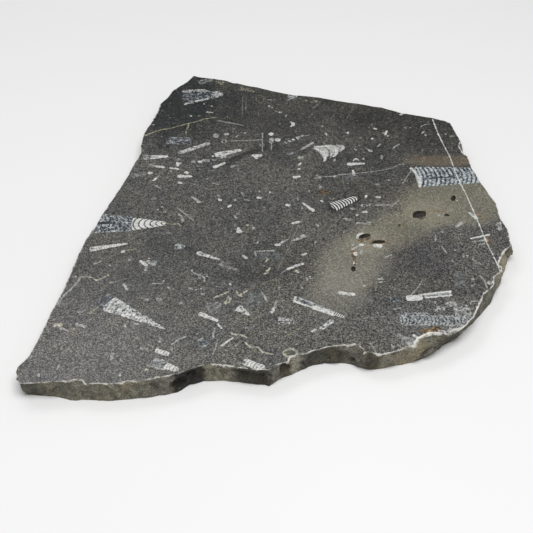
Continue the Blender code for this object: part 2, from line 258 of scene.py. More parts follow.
LEFT_PIECES = (
    ("blue_grey", (-144.5, 85.2), (-118.5, 87.6), (4.3, 1.2)),
    ("white", (-136, 88.6), (-117, 87.9), (1.1, 1.3)),
    ("white", (-136.5, 83.7), (-118.5, 87), (1.2, 1.1)),
    ("dark", (-142, 86.6), (-127, 86.2), (0.6, 0.5)),
    ("grey", (-136.5, 72.2), (-129, 70.4), (2.7, 1.8)),
    ("white", (-129.6, 70.2), (-119, 67.9), (1.9, 1.7)),
    ("white", (-114.3, 67.5), (-104, 64.6), (1.5, 1.0)),
    ("white", (-105.6, 53.2), (-89.4, 52), (2.8, 1.3)),
    ("white", (-97.6, 60.6), (-93.6, 57.1), (1.8, 1.7)),
    ("soft", (-113, 61), (-111, 60.6), (1.1, 1)),
    ("ghost", (-154, 52), (-139.5, 58.5), (2.8, 3.2)),
    ("white", (-137, 58.2), (-131.4, 58.6), (3.0, 0.8)),
    ("white", (-130.6, 44.6), (-126.8, 50), (1.4, 1.1)),
    ("thread", (-127, 49.6), (-123.8, 55), (0.8, 0.5)),
    ("white", (-104.4, 43), (-99.5, 40.1), (1.4, 1.3)),
    ("soft", (-128.6, 36.2), (-125.6, 35.3), (1.2, 1)),
    ("thread", (-126, 35), (-121.5, 31.6), (0.7, 0.5)),
    ("mottled", (-106.6, 93.2), (-72.5, 112.6), (3.2, 1.7)),
    ("soft", (-108, 82), (-104, 82), (1.9, 1.8)),
    ("white", (-106.8, 78), (-105.4, 69.8), (1.1, 1.5)),
    ("white", (-107.6, 74.4), (-101.8, 75.6), (1.3, 1)),
    ("black", (-101, 77.6), (-95.4, 75.4), (2.1, 1.7)),
    ("soft", (-84.6, 70), (-82, 70), (1.2, 1)),
    ("soft", (-91.2, 79), (-87, 77.3), (2, 1.8)),
    ("white", (-84.6, 78.6), (-80, 77.7), (1.7, 1.6)),
    ("blue_grey", (-80, 80.2), (-71, 80.6), (2.0, 1.7)),
    ("blue_grey", (-70, 80.8), (-63.6, 81.7), (1.3, 1)),
    ("white", (-69.8, 88), (-67, 88.2), (1.1, 1.1)),
    ("bright_mottled", (-66.5, 89.7), (-38, 99.7), (4.3, 2.2)),
    ("bright_mottled", (-60.6, 86), (-54, 88.6), (2, 2)),
    ("white", (-67.5, 67.4), (-54.6, 76.6), (2.5, 1.5)),
    ("soft", (-49.4, 68.9), (-42.4, 72.1), (1.8, 1.2)),
    ("thread", (-67.4, 41.2), (-60, 38), (1.0, 0.5)),
    ("soft", (-88.6, 18.8), (-79.4, 7.8), (1.2, 2.0)),
    ("soft", (-62, 20.2), (-59, 19.5), (1.4, 1.2)),
    ("white", (-60.8, 14.2), (-56.8, 11), (1.5, 1.5)),
    ("white", (-50.4, 0.4), (-46.8, 5.2), (1.3, 1.7)),
    ("soft", (-58.2, -2), (-55.8, -1.4), (1.2, 1.1)),
    ("soft", (-43, 15), (-43, 11), (1.0, 0.9)),
    ("soft", (-73, 49.4), (-72.4, 46), (0.9, 0.8)),
    ("ghost", (-131, 13.5), (-125, 16.5), (1.6, 1.2)),
    ("ghost", (-146, 24), (-142, 25), (1.5, 1.3)),
    ("soft", (-119, 2), (-117, -0.4), (1.2, 1.1)),
    ("soft", (-74, 31), (-73, 33), (0.8, 0.8)),
    ("black", (-51.5, 80.6), (-36, 91), (1.4, 1.8)),
    ("black", (-36.4, 90.7), (-19.5, 103.4), (1.8, 1.1)),
    ("white", (-26.8, 89.2), (-15.2, 89.4), (1.8, 2.4)),
    ("white", (-22.4, 88), (-20.8, 83), (2.6, 1.2)),
    ("shell_dark", (-188, -25), (-146, -26.2), (16, 10.6)),
    ("chambers", (-147.2, -26.4), (-113, -25.4), (10.6, 2.6)),
    ("black", (-183, -24.6), (-163.5, -25.2), (1.9, 1.2)),
    ("dark", (-176, -22.5), (-166, -22), (1.0, 0.7)),
    ("fine_chambers", (-185.5, -65.4), (-148.5, -56.4), (3.5, 1.2)),
    ("dark", (-184.5, -64.6), (-181.5, -63.9), (1.5, 1.3)),
    ("yellow", (-152, -67.5), (-139, -64.5), (0.7, 0.5)),
    ("white", (-154, -69.6), (-150.4, -67.8), (1.5, 1.3)),
    ("white", (-135, -81.6), (-126.2, -89.8), (1.6, 1.8)),
    ("soft", (-127.2, -81.6), (-124, -87), (1.5, 1.3)),
    ("soft", (-127.4, -90), (-128.2, -97.4), (1.5, 1.3)),
    ("blue_grey", (-125, -84), (-119.4, -88.6), (2.2, 2.2)),
    ("dark_blue", (-121.6, -82.4), (-117.6, -85.6), (1.9, 1.8)),
    ("soft", (-146, -81), (-142.6, -81.2), (1.5, 1.4)),
    ("soft", (-164.4, -89), (-162.4, -89), (1.1, 1)),
    ("soft", (-101, -10), (-95.6, -22.4), (0.8, 2.0), 1.5),
    ("thread", (-103, 0.4), (-83, -22.6), (0.6, 0.6)),
    ("faint", (-99, -1), (-84, -18.6), (0.5, 0.5)),
    ("ghost", (-117.4, -42.6), (-107, -40), (1.4, 0.9)),
    ("soft", (-43.8, -12), (-41.6, -17), (1.1, 1.3)),
    ("soft", (-41, -9.6), (-37.4, -11.2), (1.0, 0.9)),
    ("soft", (-124.6, -3), (-121, -3), (0.8, 0.8)),
    ("ghost", (-116.2, -7), (-112.4, -7), (1.7, 1.6)),
)
MIDDLE_PIECES = (
    ("horn", (47, 95), (75, 105.3), (12.0, 3.4)),
    ("white", (41, 104.3), (61, 107.9), (1.3, 1.1)),
    ("white", (42, 103), (52.2, 78.8), (2.6, 1.5), 4.4),
    ("soft", (53, 106), (58, 84), (1.0, 1.2), 4.2),
    ("white", (58, 108), (61.5, 86.6), (1.6, 1.9), 6.0),
    ("grey", (66.5, 108), (69, 96), (2.0, 1.4), 1.6),
    ("white", (66.5, 108.8), (69.4, 96.4), (1.5, 1.2), 4.0),
    ("white", (75.8, 73.8), (95.6, 75), (2.6, 1.2)),
    ("white", (83, 79.4), (89.6, 79.6), (1.3, 1.1), 3.8),
    ("soft", (94.5, 84.8), (94.5, 81.4), (1.1, 1)),
    ("soft", (63, 83.8), (63, 78.8), (1.1, 0.8)),
    ("soft", (23.4, 86.2), (29.8, 86), (2.7, 2.4)),
    ("white", (26.7, 77), (23.9, 71.4), (1.0, 1.7)),
    ("white", (22.8, 65.4), (25.7, 65.3), (1.5, 1.4)),
    ("white", (17.4, 50.8), (25.7, 52.1), (1.8, 1.3)),
    ("black", (19.3, 45.8), (20.7, 45.8), (1.0, 1)),
    ("soft", (42, 55.2), (48, 49.4), (1.0, 1.6)),
    ("soft", (60, 52.2), (66, 52.4), (2.0, 1.3)),
    ("white", (82, 63.6), (82.4, 53.2), (0.9, 1.7)),
    ("smoke", (72, 49), (87, 54), (5, 5)),
    ("black", (67.8, 50.6), (70.8, 50.6), (1.4, 1.3)),
    ("soft", (46, 36.4), (46, 32.4), (1.1, 1.1)),
    ("soft", (34, 28.8), (34, 26), (0.9, 0.9)),
    ("white", (46.2, 12.2), (47.9, 9), (1.2, 1.4)),
    ("soft", (24.9, -1), (27.1, -1), (1.1, 1.1)),
    ("soft", (22, 16.2), (22, 12), (1.0, 0.9)),
    ("white", (9.2, 5.2), (14.2, 2.8), (1.8, 2.0)),
    ("white", (26.4, 8.2), (38.5, -6), (1.0, 2.1)),
    ("white", (-7, 26.8), (-7, 23.4), (1.2, 1.2)),
    ("soft", (-18, 28.4), (-18, 25.4), (1.0, 1.0)),
    ("white", (-20.8, 16.4), (-15.2, 15.8), (1.6, 1.4)),
    ("black", (-19.2, 12.6), (-16.8, 12.6), (1.1, 1)),
    ("thread", (-37, 25.4), (-33.8, 18.8), (0.8, 0.7)),
    ("thread", (-34.4, 13.6), (-28, 11.4), (0.8, 0.6)),
    ("faint", (55, 11), (51.8, 3), (0.7, 0.6)),
    ("faint", (59.4, 16), (56, 7.4), (0.7, 0.6)),
    ("black", (53.5, -2.8), (86.5, 17.6), (8.8, 5.0)),
    ("striped", (57.2, 0.6), (84.4, 16.8), (7.4, 3.4)),
    ("white", (15.2, -25.4), (22.6, -22.8), (1.6, 1.7)),
    ("thread", (22, -23.2), (26.4, -21.4), (0.8, 0.4)),
    ("soft", (39.4, -25.8), (42.4, -31.2), (0.9, 1.1)),
    ("ghost", (36.4, -33), (39.6, -37.2), (0.8, 0.8)),
    ("dark", (37.8, -15.4), (37.8, -19), (0.7, 0.7), 1.4),
    ("dark", (37.8, -15.4), (37.8, -19), (0.7, 0.7), -1.4),
    ("grey", (75.6, -0.8), (80.4, -3.2), (1.8, 1.5)),
    ("grey", (68.2, -17.6), (75.4, -19.4), (1.0, 2.6)),
    ("white", (80.4, -12.4), (83.8, -12), (1.1, 1)),
    ("soft", (86, -7.4), (90.4, -7.2), (1.7, 1.8)),
    ("white", (90, -7), (93.4, -6.8), (1.9, 1.9)),
    ("soft", (79.8, -25.2), (83, -25), (1.4, 1.3)),
    ("soft", (85, -24.6), (87.4, -24.4), (1.2, 1.1)),
    ("soft", (91, -23.4), (95.2, -24), (1.7, 1.4)),
    ("soft", (88, 5.6), (88, 1), (0.9, 0.8)),
    ("soft", (92.4, 4.8), (93.6, 1.4), (1.0, 0.9)),
    ("soft", (96, 5.6), (96, 3), (0.9, 0.9)),
    ("ribbed", (101.6, 3.8), (118.4, 4.6), (1.7, 1.5)),
    ("white", (93, 20.8), (93, 16.8), (1.5, 1.3)),
    ("white", (102.8, 17), (109, 17), (1.6, 1.5)),
    ("white", (-2.2, -58.6), (3.4, -58.3), (1.9, 1.6)),
    ("soft", (3, -56.4), (12.6, -48.6), (1.5, 0.6)),
    ("soft", (13.8, -52.8), (21.6, -49.6), (0.7, 1.5)),
    ("soft", (20, -50.4), (28.4, -43.2), (1.4, 3.2)),
    ("white", (23.8, -73.6), (29.4, -71.4), (1.4, 1.3)),
    ("white", (-34.2, -73.4), (-29.8, -79.2), (1.0, 1.5)),
    ("thread", (-22, -67.6), (-21, -75.4), (0.9, 0.8)),
    ("thread", (-20.4, -68.2), (-2.6, -67.2), (0.7, 1.0)),
    ("smoke", (-17, -74), (2, -77), (5.5, 5.5)),
    ("cream", (-8.8, -78.2), (-11.2, -84.2), (1.0, 0.8)),
    ("cream", (-6.8, -92.2), (-11, -99.6), (0.9, 1.3)),
    ("cream", (-13.4, -101), (-8, -99.6), (1.1, 0.9)),
    ("bright_mottled", (9.3, -94.7), (25.9, -86.1), (1.3, 1.7)),
    ("thread", (3, -101), (9.8, -94.3), (0.5, 0.9)),
    ("cream", (17.2, -95.4), (21, -99.6), (1.3, 1.3)),
    ("soft", (38, -53.4), (38, -57.2), (0.8, 0.8)),
    ("black", (36, -52.8), (36, -58), (0.9, 0.8)),
    ("soft", (28.3, -106.6), (29, -111), (1.1, 1.0)),
    ("soft", (31, -104), (32.2, -108.4), (0.7, 0.7)),
    ("soft", (23.5, -119.8), (23.5, -122.6), (0.8, 0.8)),
    ("dark", (23, -129.2), (23, -133), (1.0, 0.9)),
    ("feather", (-39.2, -31), (-37.4, -40.4), (0.8, 4.0)),
    ("thread", (-45, -25), (-40, -31), (0.5, 0.6)),
    ("cream", (-31.2, -28), (-28.2, -28.4), (1.4, 1.3)),
    ("soft", (-25.6, -33.4), (-22.4, -32.2), (1.6, 1.4)),
    ("black", (-29, -40), (-29, -44.2), (1.0, 0.9)),
    ("dark", (-45, -83), (-41, -80.5), (1.6, 1.6)),
)
LOWER_LEFT_PIECES = (
    ("blue_grey", (-101.6, -60.4), (-91.4, -61.8), (4.7, 3.4)),
    ("black", (-91.8, -62.8), (-79, -70.2), (2.8, 1.3)),
    ("bright_mottled", (-79.4, -70.2), (-56.5, -80.4), (2.9, 0.9)),
    ("ghost", (-57, -82), (-46, -87.6), (1.2, 1.2)),
    ("grey", (-56.4, -86.8), (-50, -91), (1.7, 1.4)),
    ("grey", (-49, -91), (-40, -95.4), (1.3, 1.4)),
    ("soft", (-68, -101.6), (-68, -105.4), (1.0, 0.9)),
    ("soft", (-76.2, -107), (-73.8, -107), (1.0, 0.9)),
    ("soft", (-105.2, -120.4), (-102.2, -122.4), (1.3, 1.1)),
    ("soft", (-59.2, -119), (-57, -119), (1.1, 1)),
    ("ghost", (-47.4, -123), (-42.8, -123), (2.1, 2)),
    ("soft", (-45.6, -114.2), (-44.4, -118.2), (1.1, 1)),
    ("ghost", (-51, -110.6), (-51, -115.4), (1.1, 0.9)),
    ("ghost", (-206, -135.4), (-205.4, -145.6), (2.0, 1.7)),
    ("soft", (-195.8, -105), (-193, -105.6), (1.1, 1)),
    ("dark", (-163.4, -100), (-161.2, -100), (1.1, 1)),
    ("soft", (-147.6, -115.2), (-142.8, -124.2), (2.1, 1.0)),
    ("cream", (-161.4, -114.2), (-154.4, -112.3), (1.0, 0.7)),
    ("dark_blue", (-168, -137.2), (-156, -144.4), (9.6, 9.6)),
    ("net", (-160.2, -142), (-103.5, -176.8), (10.4, 0.5)),
    ("black", (-163.5, -127), (-167.8, -147.4), (1.3, 1.0)),
    ("soft", (-133.2, -169.6), (-128.8, -170.6), (1.2, 1.1)),
    ("cream", (-141, -170.2), (-141, -174.2), (1.0, 0.9)),
    ("cream", (-207.4, -172), (-198.6, -170.6), (1.6, 2.4)),
    ("cream", (-201.2, -171), (-199.4, -177), (1.6, 0.9)),
    ("thread", (-200, -174), (-192, -180), (0.8, 0.6)),
    ("soft", (-187.4, -169.8), (-176, -174.4), (1.7, 1.3)),
    ("warm_ghost", (-190, -175.6), (-186, -184.6), (2.8, 2.2)),
    ("dark", (-211.4, -185.2), (-201.8, -185.2), (1.0, 1.0)),
    ("dark", (-211.4, -189.2), (-201.8, -189.2), (1.0, 1.0)),
    ("dark", (-210.8, -184.6), (-210.8, -189.8), (1.0, 1.0)),
    ("dark", (-202.4, -184.6), (-202.4, -189.8), (1.0, 1.0)),
    ("ghost", (-217.4, -186), (-213, -186.2), (1.7, 1.5)),
    ("soft", (-188, -151.6), (-180, -151.6), (0.9, 0.9), -2.8),
    ("dark", (-188, -133.6), (-188, -138.4), (1.1, 1)),
    ("grey", (-126.4, -138), (-121.6, -138), (1.8, 1.6)),
    ("grey", (-114.2, -135.8), (-109.6, -138.8), (1.9, 1.6)),
    ("black", (-117.2, -139), (-114.8, -139), (1.1, 1.1)),
    ("soft", (-92.8, -142), (-89.4, -142.2), (1.6, 1.5)),
    ("soft", (-107.5, -188.2), (-107.5, -194), (0.8, 1.0)),
    ("soft", (-96, -199), (-96, -203.4), (0.8, 0.7)),
    ("small_chambers", (-111, -203.4), (-98.2, -209.2), (2.9, 2.6)),
    ("blue_grey", (-113, -217), (-98.4, -221.6), (4.8, 4.4)),
    ("dark", (-102.4, -220.8), (-98, -222.8), (1.5, 1.4)),
    ("small_chambers", (-101, -222.8), (-89, -227.8), (4.2, 2.8)),
    ("cream", (-119.4, -227.4), (-115.2, -227.6), (1.8, 1.6)),
    ("soft", (-149, -206.8), (-150.2, -215.8), (1.2, 1.0)),
    ("dark_blue", (-128, -200), (-124.2, -200), (1.6, 1.5)),
    ("ghost", (-125.4, -198.6), (-116.6, -203.4), (2.6, 2)),
    ("soft", (-140, -232.2), (-140, -235.8), (0.9, 0.9)),
    ("soft", (-197, -227.4), (-195, -221.8), (0.9, 0.8)),
    ("soft", (-212, -231.8), (-212, -236.4), (1.0, 1.0)),
    ("dark", (-168.4, -239), (-164.6, -243.4), (0.9, 0.9)),
    ("dark", (-159.5, -211), (-157, -219), (2.6, 2.6)),
    ("dark", (-157, -226), (-152.6, -222), (1.2, 1.6)),
    ("soft", (-73, -129), (-69, -129.6), (1.4, 1.2)),
)
FRONT_PIECES = (
    ("bright_mottled", (-38, -148), (-26, -158.4), (4.4, 1.2)),
    ("fine_chambers", (-73.6, -155.6), (-55.4, -166.2), (2.7, 1.4)),
    ("soft", (-15.8, -126.6), (-11.2, -139.4), (0.8, 0.9), 1.2),
    ("soft", (-1.1, -138.8), (-3.2, -148.8), (0.6, 1.6)),
    ("white", (-3.4, -149), (-6.2, -155.8), (1.3, 1.5)),
    ("mottled", (0, -165.4), (13, -166.6), (4.7, 3.0)),
    ("grey", (12, -161.4), (14, -170), (0.7, 0.7), 1.8),
    ("blue_grey", (16.2, -136.2), (53, -156.4), (4.1, 2.9)),
    ("white", (17.2, -132.8), (16, -140.4), (1.2, 1.2)),
    ("white", (17.4, -140.2), (52.6, -158.8), (1.1, 1.1)),
    ("soft", (19, -134), (33, -142.4), (0.8, 0.8)),
    ("dark_blue", (22, -139.2), (32, -145.2), (2.1, 1.8)),
    ("white", (32.4, -147.4), (52.6, -156.2), (2.4, 2.3)),
    ("beads", (51.6, -155.4), (63.4, -162), (2.5, 1.5)),
    ("black", (62, -161.4), (68, -164.8), (1.4, 0.7)),
    ("bright_mottled", (57.4, -127.4), (73.4, -130.9), (2.1, 1.9)),
    ("ghost", (51.6, -125.2), (58.4, -127.2), (1.4, 1.6)),
    ("bright_mottled", (50.8, -165.4), (39.4, -176.4), (2.4, 1.9)),
    ("white", (35.4, -176.4), (30.8, -180.8), (1.4, 1.3)),
    ("ghost", (-61, -140), (-61, -155), (8, 8)),
    ("smoke", (-23, -128), (-22, -147), (9, 8)),
    ("small_chambers", (-31.4, -216.8), (-12.5, -227.4), (3.8, 4.4)),
    ("dark", (-37, -214), (-29.6, -219.2), (1.8, 1.6)),
    ("soft", (-58, -175), (-60, -190), (0.8, 0.9)),
    ("white", (-56, -169.6), (-51.4, -176), (1.2, 1.2)),
    ("white", (-52, -198.4), (-40.8, -187.8), (1.0, 1.0)),
    ("soft", (-46.2, -199), (-44, -199), (1.0, 1)),
    ("soft", (-39, -197), (-37, -197), (1.0, 1)),
    ("soft", (-31, -175), (-29, -175), (1.0, 1)),
    ("soft", (-75, -183), (-73, -183), (1.0, 1)),
    ("black", (-34.6, -179.6), (-29.4, -181.4), (2.2, 1.9)),
    ("smoky", (-73, -194), (-63, -194), (5, 5)),
    ("soft", (15.8, -196), (18.6, -196), (1.3, 1.2)),
    ("dark", (10, -200), (25, -195), (0.7, 0.6)),
    ("faint", (35, -172), (35, -200), (0.7, 0.6)),
    ("olive", (4.2, -207), (17.8, -207), (5.6, 5.4)),
    ("cream", (3.6, -207), (18.4, -207), (1.7, 1.7), 4.6),
    ("cream", (3.6, -207), (18.4, -207), (1.7, 1.7), -4.6),
    ("dark", (7.2, -207), (15.4, -207), (3.2, 3.2)),
    ("soft", (108, -150), (116, -149), (0.9, 0.8)),
    ("soft", (134, -145), (136.2, -145), (1.2, 1.1)),
    ("soft", (146.8, -141), (149.4, -141), (1.5, 1.4)),
    ("soft", (96, -108.6), (101.6, -108.4), (1.3, 1.2)),
    ("soft", (97, -113.2), (101, -113), (0.9, 0.9)),
    ("soft", (81, -117.4), (84.2, -118.6), (1.6, 1.4)),
    ("thread", (84, -194), (88, -206), (0.7, 0.6)),
    ("thread", (103, -196), (104, -202), (0.6, 0.6)),
    ("thread", (108, -196), (111, -200), (0.7, 0.6)),
    ("grey", (112, -191), (124, -193), (5.5, 5)),
    ("white", (123.6, -183.6), (128.4, -189.4), (1.4, 1.6)),
    ("thread", (110, -182), (114, -187.4), (0.9, 0.8)),
)
RIGHT_PIECES = (
    ("shell_blue", (147.8, 51.4), (216, 54.4), (17.4, 12.6)),
    ("shell_blue", (143.2, 66.6), (151, 61), (2.2, 4.4)),
    ("white", (143.6, 68), (150.4, 33.6), (1.5, 1.5), 3.2),
    ("dark_blue", (153, 47), (205, 52), (1.8, 1.4), 1.5),
    ("rust", (158.6, 85), (161.4, 85), (1.3, 1.3)),
    ("rust", (163.8, 75), (166.2, 75), (1.2, 1.1)),
    ("rust", (196, 77), (200, 76.6), (1.4, 1.3)),
    ("rust", (204, 70.4), (206.2, 69.6), (1.4, 1.3)),
    ("thread", (133, 40), (144, 62.4), (0.7, 0.6)),
    ("dark", (150, -18), (141, -6), (5.0, 4.4)),
    ("soft", (184.6, 16.2), (186, 13.6), (1.1, 1.0)),
    ("white", (186.4, 11.4), (187.8, 10.6), (0.8, 0.8)),
    ("rust", (156.6, -5.2), (172.4, -7.6), (1.0, 0.7)),
    ("soft", (162, -8.4), (168.4, -15.8), (1.2, 1.0)),
    ("rust", (123.6, -26), (124.4, -32.4), (2.2, 2.2)),
    ("dark", (124, -27.4), (124, -31), (1.3, 1.3)),
    ("rust", (92, -54.4), (109, -54.6), (3.2, 2.6)),
    ("rust", (74.6, -66), (76, -90), (2.6, 1.6)),
    ("rust", (80, -52), (94, -45), (4.4, 4.0)),
    ("white", (80.2, -49.6), (87, -40.2), (1.5, 1.4), 2.2),
    ("white", (81.2, -58.6), (87, -58), (2.1, 1.7)),
    ("white", (95.2, -58.8), (104.4, -61), (2.6, 3.2)),
    ("white", (77, -69.2), (77.3, -74.8), (2.1, 1.8)),
    ("soft", (83.5, -65.8), (82, -73.4), (1.1, 0.9)),
    ("soft", (75, -54.2), (75.6, -60.4), (1.0, 0.9)),
    ("soft", (73.6, -66.4), (81.6, -59.6), (1.3, 1.1)),
    ("white", (75, -83.2), (75, -86.8), (0.9, 0.9)),
    ("soft", (166, -36.4), (166, -39.6), (1.7, 1.6)),
    ("thread", (159, -43), (158, -53), (0.8, 0.7)),
    ("thread", (163, -60), (167, -71), (0.8, 0.7)),
    ("thread", (171, -80), (172, -84), (0.8, 0.8)),
    ("thread", (183, -72), (183, -78), (0.8, 0.8)),
    ("soft", (174.8, -66), (177.2, -66), (1.2, 1.2)),
    ("soft", (185.8, -75), (188.2, -75), (1.2, 1.2)),
    ("white", (192.6, -49.4), (213.4, -42.6), (0.9, 1.2)),
    ("soft", (194.6, -54.2), (210.4, -50.6), (0.8, 0.9)),
    ("soft", (200, -58.4), (207, -56), (0.8, 0.8)),
    ("rust", (212, -45), (212, -57), (1.6, 1.6)),
    ("white", (196.8, -8), (204.6, -18.6), (0.9, 2.2)),
    ("rust", (205, -10), (211, -17), (1.3, 1.0)),
    ("frosty", (225, -23), (224.4, -36), (2.6, 2.6)),
    ("soft", (180, -32), (189, -23), (1.8, 1.6)),
    ("soft", (80.6, -24), (95.4, -27), (1.0, 0.8)),
    ("thread", (115, -2), (127, 12), (0.7, 0.6)),
    ("thread", (105, -78), (113, -73), (0.7, 0.6)),
    ("frosty_shell", (113.4, -164.6), (184, -166.6), (6.8, 6.6)),
    ("frosty_shell", (116, -158), (141, -157), (2.8, 2.2)),
    ("dark_blue", (106, -141), (115, -134), (1.6, 1.6)),
    ("dark_blue", (106, -134), (115, -142), (1.6, 1.6)),
    ("white", (121.4, -135.6), (137.4, -134.6), (3.9, 3.4)),
    ("white", (133.4, -131.2), (165.6, -126), (1.2, 1.4)),
    ("blue_grey", (139, -133.6), (165, -129.6), (2.0, 2.0)),
    ("white", (139.4, -134.8), (165.6, -131.4), (0.9, 0.9)),
    ("frosty", (148.6, -149.6), (156.4, -149.4), (3.2, 3)),
    ("frosty", (159, -143.4), (168.6, -143), (3.2, 3)),
    ("frosty", (165, -152.4), (180.6, -152.6), (7.2, 7)),
    ("soft", (181, -143.6), (190, -140), (1.2, 1.0), 2.4),
    ("white", (188, -145.4), (188, -156.6), (2.2, 2.2)),
    ("smoke", (176, -97), (175, -121), (5.5, 5)),
    ("soft", (200.4, -114), (205.8, -114.2), (2.6, 2.4)),
    ("soft", (186.8, -109), (189.4, -109), (1.2, 1.1)),
    ("soft", (184.8, -118), (187.4, -118), (1.2, 1.1)),
    ("frosty", (118, -196.6), (153, -189.4), (3.6, 4.2)),
    ("frosty", (146, -184.6), (167, -175.6), (4.4, 4.8)),
    ("rust", (131, -181), (150, -176), (3.2, 3.4)),
)

# Thin veins and cracks: look, half width, and the points that the vein runs through
VEINS = (
    ("yellow", 0.8, ((-145, 126), (-140, 130), (-128, 137), (-117, 140), (-107, 145), (-97, 150),
                     (-88, 153), (-80, 158), (-68, 161))),
    ("yellow", 0.7, ((-98, 149), (-98, 143), (-100, 135), (-100, 127))),
    ("thread", 0.7, ((-66, 155), (-50, 150), (-36, 145))),
    ("thread", 0.6, ((-50, 116), (-30, 117), (-15, 118))),
    ("white", 0.6, ((176.5, 158), (180, 128), (184.5, 105), (188.5, 85), (190, 70), (191, 58),
                     (194, 40), (197, 25), (199.5, 10), (201, 0), (204, -20), (207, -43),
                     (209, -58), (212, -72), (215, -90), (216, -98))),
    ("thread", 0.6, ((40, 49), (47, 51), (60, 52.5), (66, 55), (80, 57), (92, 58.5), (103, 61),
                     (113, 63), (124, 67), (132, 73.5), (138, 73.5))),
    ("faint", 0.6, ((70, 52), (71, 40), (72, 30))),
    ("soft", 0.8, ((-83, -95), (-82, -99), (-78, -102), (-73, -104), (-70, -106), (-70, -112))),
    ("thread", 0.7, ((-124, -118), (-121, -115), (-110, -115), (-109, -110))),
    ("soft", 0.8, ((-85, -121), (-80, -124), (-74, -123), (-72, -122))),
    ("yellow", 0.7, ((-115, -22), (-112, -25), (-106, -27), (-100, -25.5), (-97, -30))),
    ("olive", 0.6, ((-142, -57), (-135, -54), (-131, -52), (-130, -47))),
    ("cream", 0.6, ((-180, -88), (-172, -83))),
    ("thread", 0.9, ((-190, -106), (-192, -113), (-196, -121), (-201, -129), (-205, -137),
                     (-208, -145))),
    ("cream", 0.7, ((-190, -106), (-184, -105), (-178, -107), (-174, -111), (-168, -107),
                    (-163, -103))),
    ("yellow", 0.7, ((-176, -156), (-170, -150), (-167, -144))),
    ("thread", 0.8, ((-97, -197), (-91, -190), (-84, -186))),
    ("soft", 0.8, ((-118, -221), (-113, -223), (-107, -226), (-101, -227))),
    ("faint", 0.5, ((0, -98), (4, -83), (10, -68), (14, -55), (19, -38), (22, -27))),
    ("faint", 0.5, ((-20, -57), (-16, -37))),
    ("cream", 0.9, ((-46, -133), (-50, -143), (-46, -142), (-44, -135))),
    ("cream", 0.8, ((-61, -135), (-55, -132), (-46, -126))),
    ("cream", 0.9, ((-39, -125), (-38, -131), (-33, -133))),
    ("cream", 0.9, ((-36, -131), (-33, -129), (-29, -124.5))),
    ("olive", 0.7, ((-30, -125), (-18, -119), (-8, -111), (2, -110))),
    ("faint", 0.6, ((68, -164), (85, -162), (100, -160))),
    ("cream", 0.9, ((-44, -180), (-40, -184), (-34, -184), (-28, -188))),
    ("cream", 0.8, ((-30, -193), (-25, -200), (-18, -200), (-14, -206), (-4, -209))),
    ("thread", 0.6, ((-55, -190), (-57, -202), (-59, -209))),
    ("yellow", 0.5, ((6, -186), (10, -184), (22, -174))),
    ("thread", 0.6, ((0, -139), (-7, -155))),
    ("thread", 0.7, ((193, -77), (191, -80), (195, -84), (200, -88))),
    ("thread", 0.7, ((195, -103), (199, -110), (200, -122))),
    ("thread", 0.7, ((139, -111), (135, -119), (130, -126), (127, -131))),
    ("soft", 0.8, ((-20, -57), (-19, -52))),
)

# Clouds of colour on the face: middle, half length and half width in mm, turn in degrees, colour
# that the rock is multiplied by, and how soft the edge is from 0 to 1. The large dark clouds at the
# back and the pale ones at the front are partly the rock's own tone and partly painted sheen: a
# painted reflection of the lights, weaker at the back of the face and stronger at the front
TONE_AND_SHEEN_CLOUDS = (
    ((-60, 245), (250, 150), -12, (0.56, 0.56, 0.55), 0.8),
    ((-125, 195), (75, 80), 0, (0.30, 0.34, 0.40), 0.9),
    ((150, 165), (90, 60), -30, (0.60, 0.59, 0.56), 0.8),
    ((115, 62), (80, 50), 20, (0.78, 0.78, 0.75), 0.8),
    ((-120, -60), (110, 120), 0, (0.92, 0.92, 0.92), 0.9),
    ((-195, -190), (75, 75), 0, (1.30, 1.27, 1.30), 0.9),
    ((-20, -190), (130, 60), 0, (1.22, 1.22, 1.20), 0.9),
    ((182, 8), (66, 36), 8, (1.28, 1.25, 1.16), 0.5),
    ((122, -32), (62, 27), 36, (1.22, 1.2, 1.12), 0.6),
    ((74, -84), (56, 34), 62, (1.28, 1.26, 1.2), 0.6),
    ((130, -75), (50, 34), 10, (0.86, 0.84, 0.88), 0.7),
    ((190, -60), (36, 46), 0, (1.15, 1.13, 1.15), 0.8),
    ((150, -165), (60, 30), 10, (1.25, 1.25, 1.24), 0.8),
    ((-10, -100), (44, 9), 10, (0.66, 0.66, 0.70), 0.8),
    ((-95, -68), (40, 9), -28, (0.82, 0.82, 0.80), 0.8),
    ((10, -75), (42, 30), 40, (0.85, 0.85, 0.82), 0.9),
    ((70, 8), (26, 16), 30, (0.60, 0.60, 0.60), 0.8),
    ((-32, 92), (36, 5), 34, (0.45, 0.45, 0.45), 0.8),
    ((50, 25), (8, 3.4), -4, (1.2, 0.85, 0.5), 0.8),
)

# Smooth pale tan stain on the face: middle, half sizes, turn, colour, softness and cover
STAINS = (
    ((180, 80), (42, 9), 0, (0.26, 0.19, 0.115), 0.6, 0.30),
    ((182, 8), (66, 36), 8, (0.36, 0.33, 0.235), 0.5, 0.26),
    ((122, -32), (62, 27), 36, (0.34, 0.31, 0.22), 0.6, 0.24),
    ((74, -84), (56, 34), 62, (0.37, 0.35, 0.275), 0.6, 0.26),
    ((56, -128), (38, 28), 60, (0.32, 0.31, 0.25), 0.7, 0.20),
)
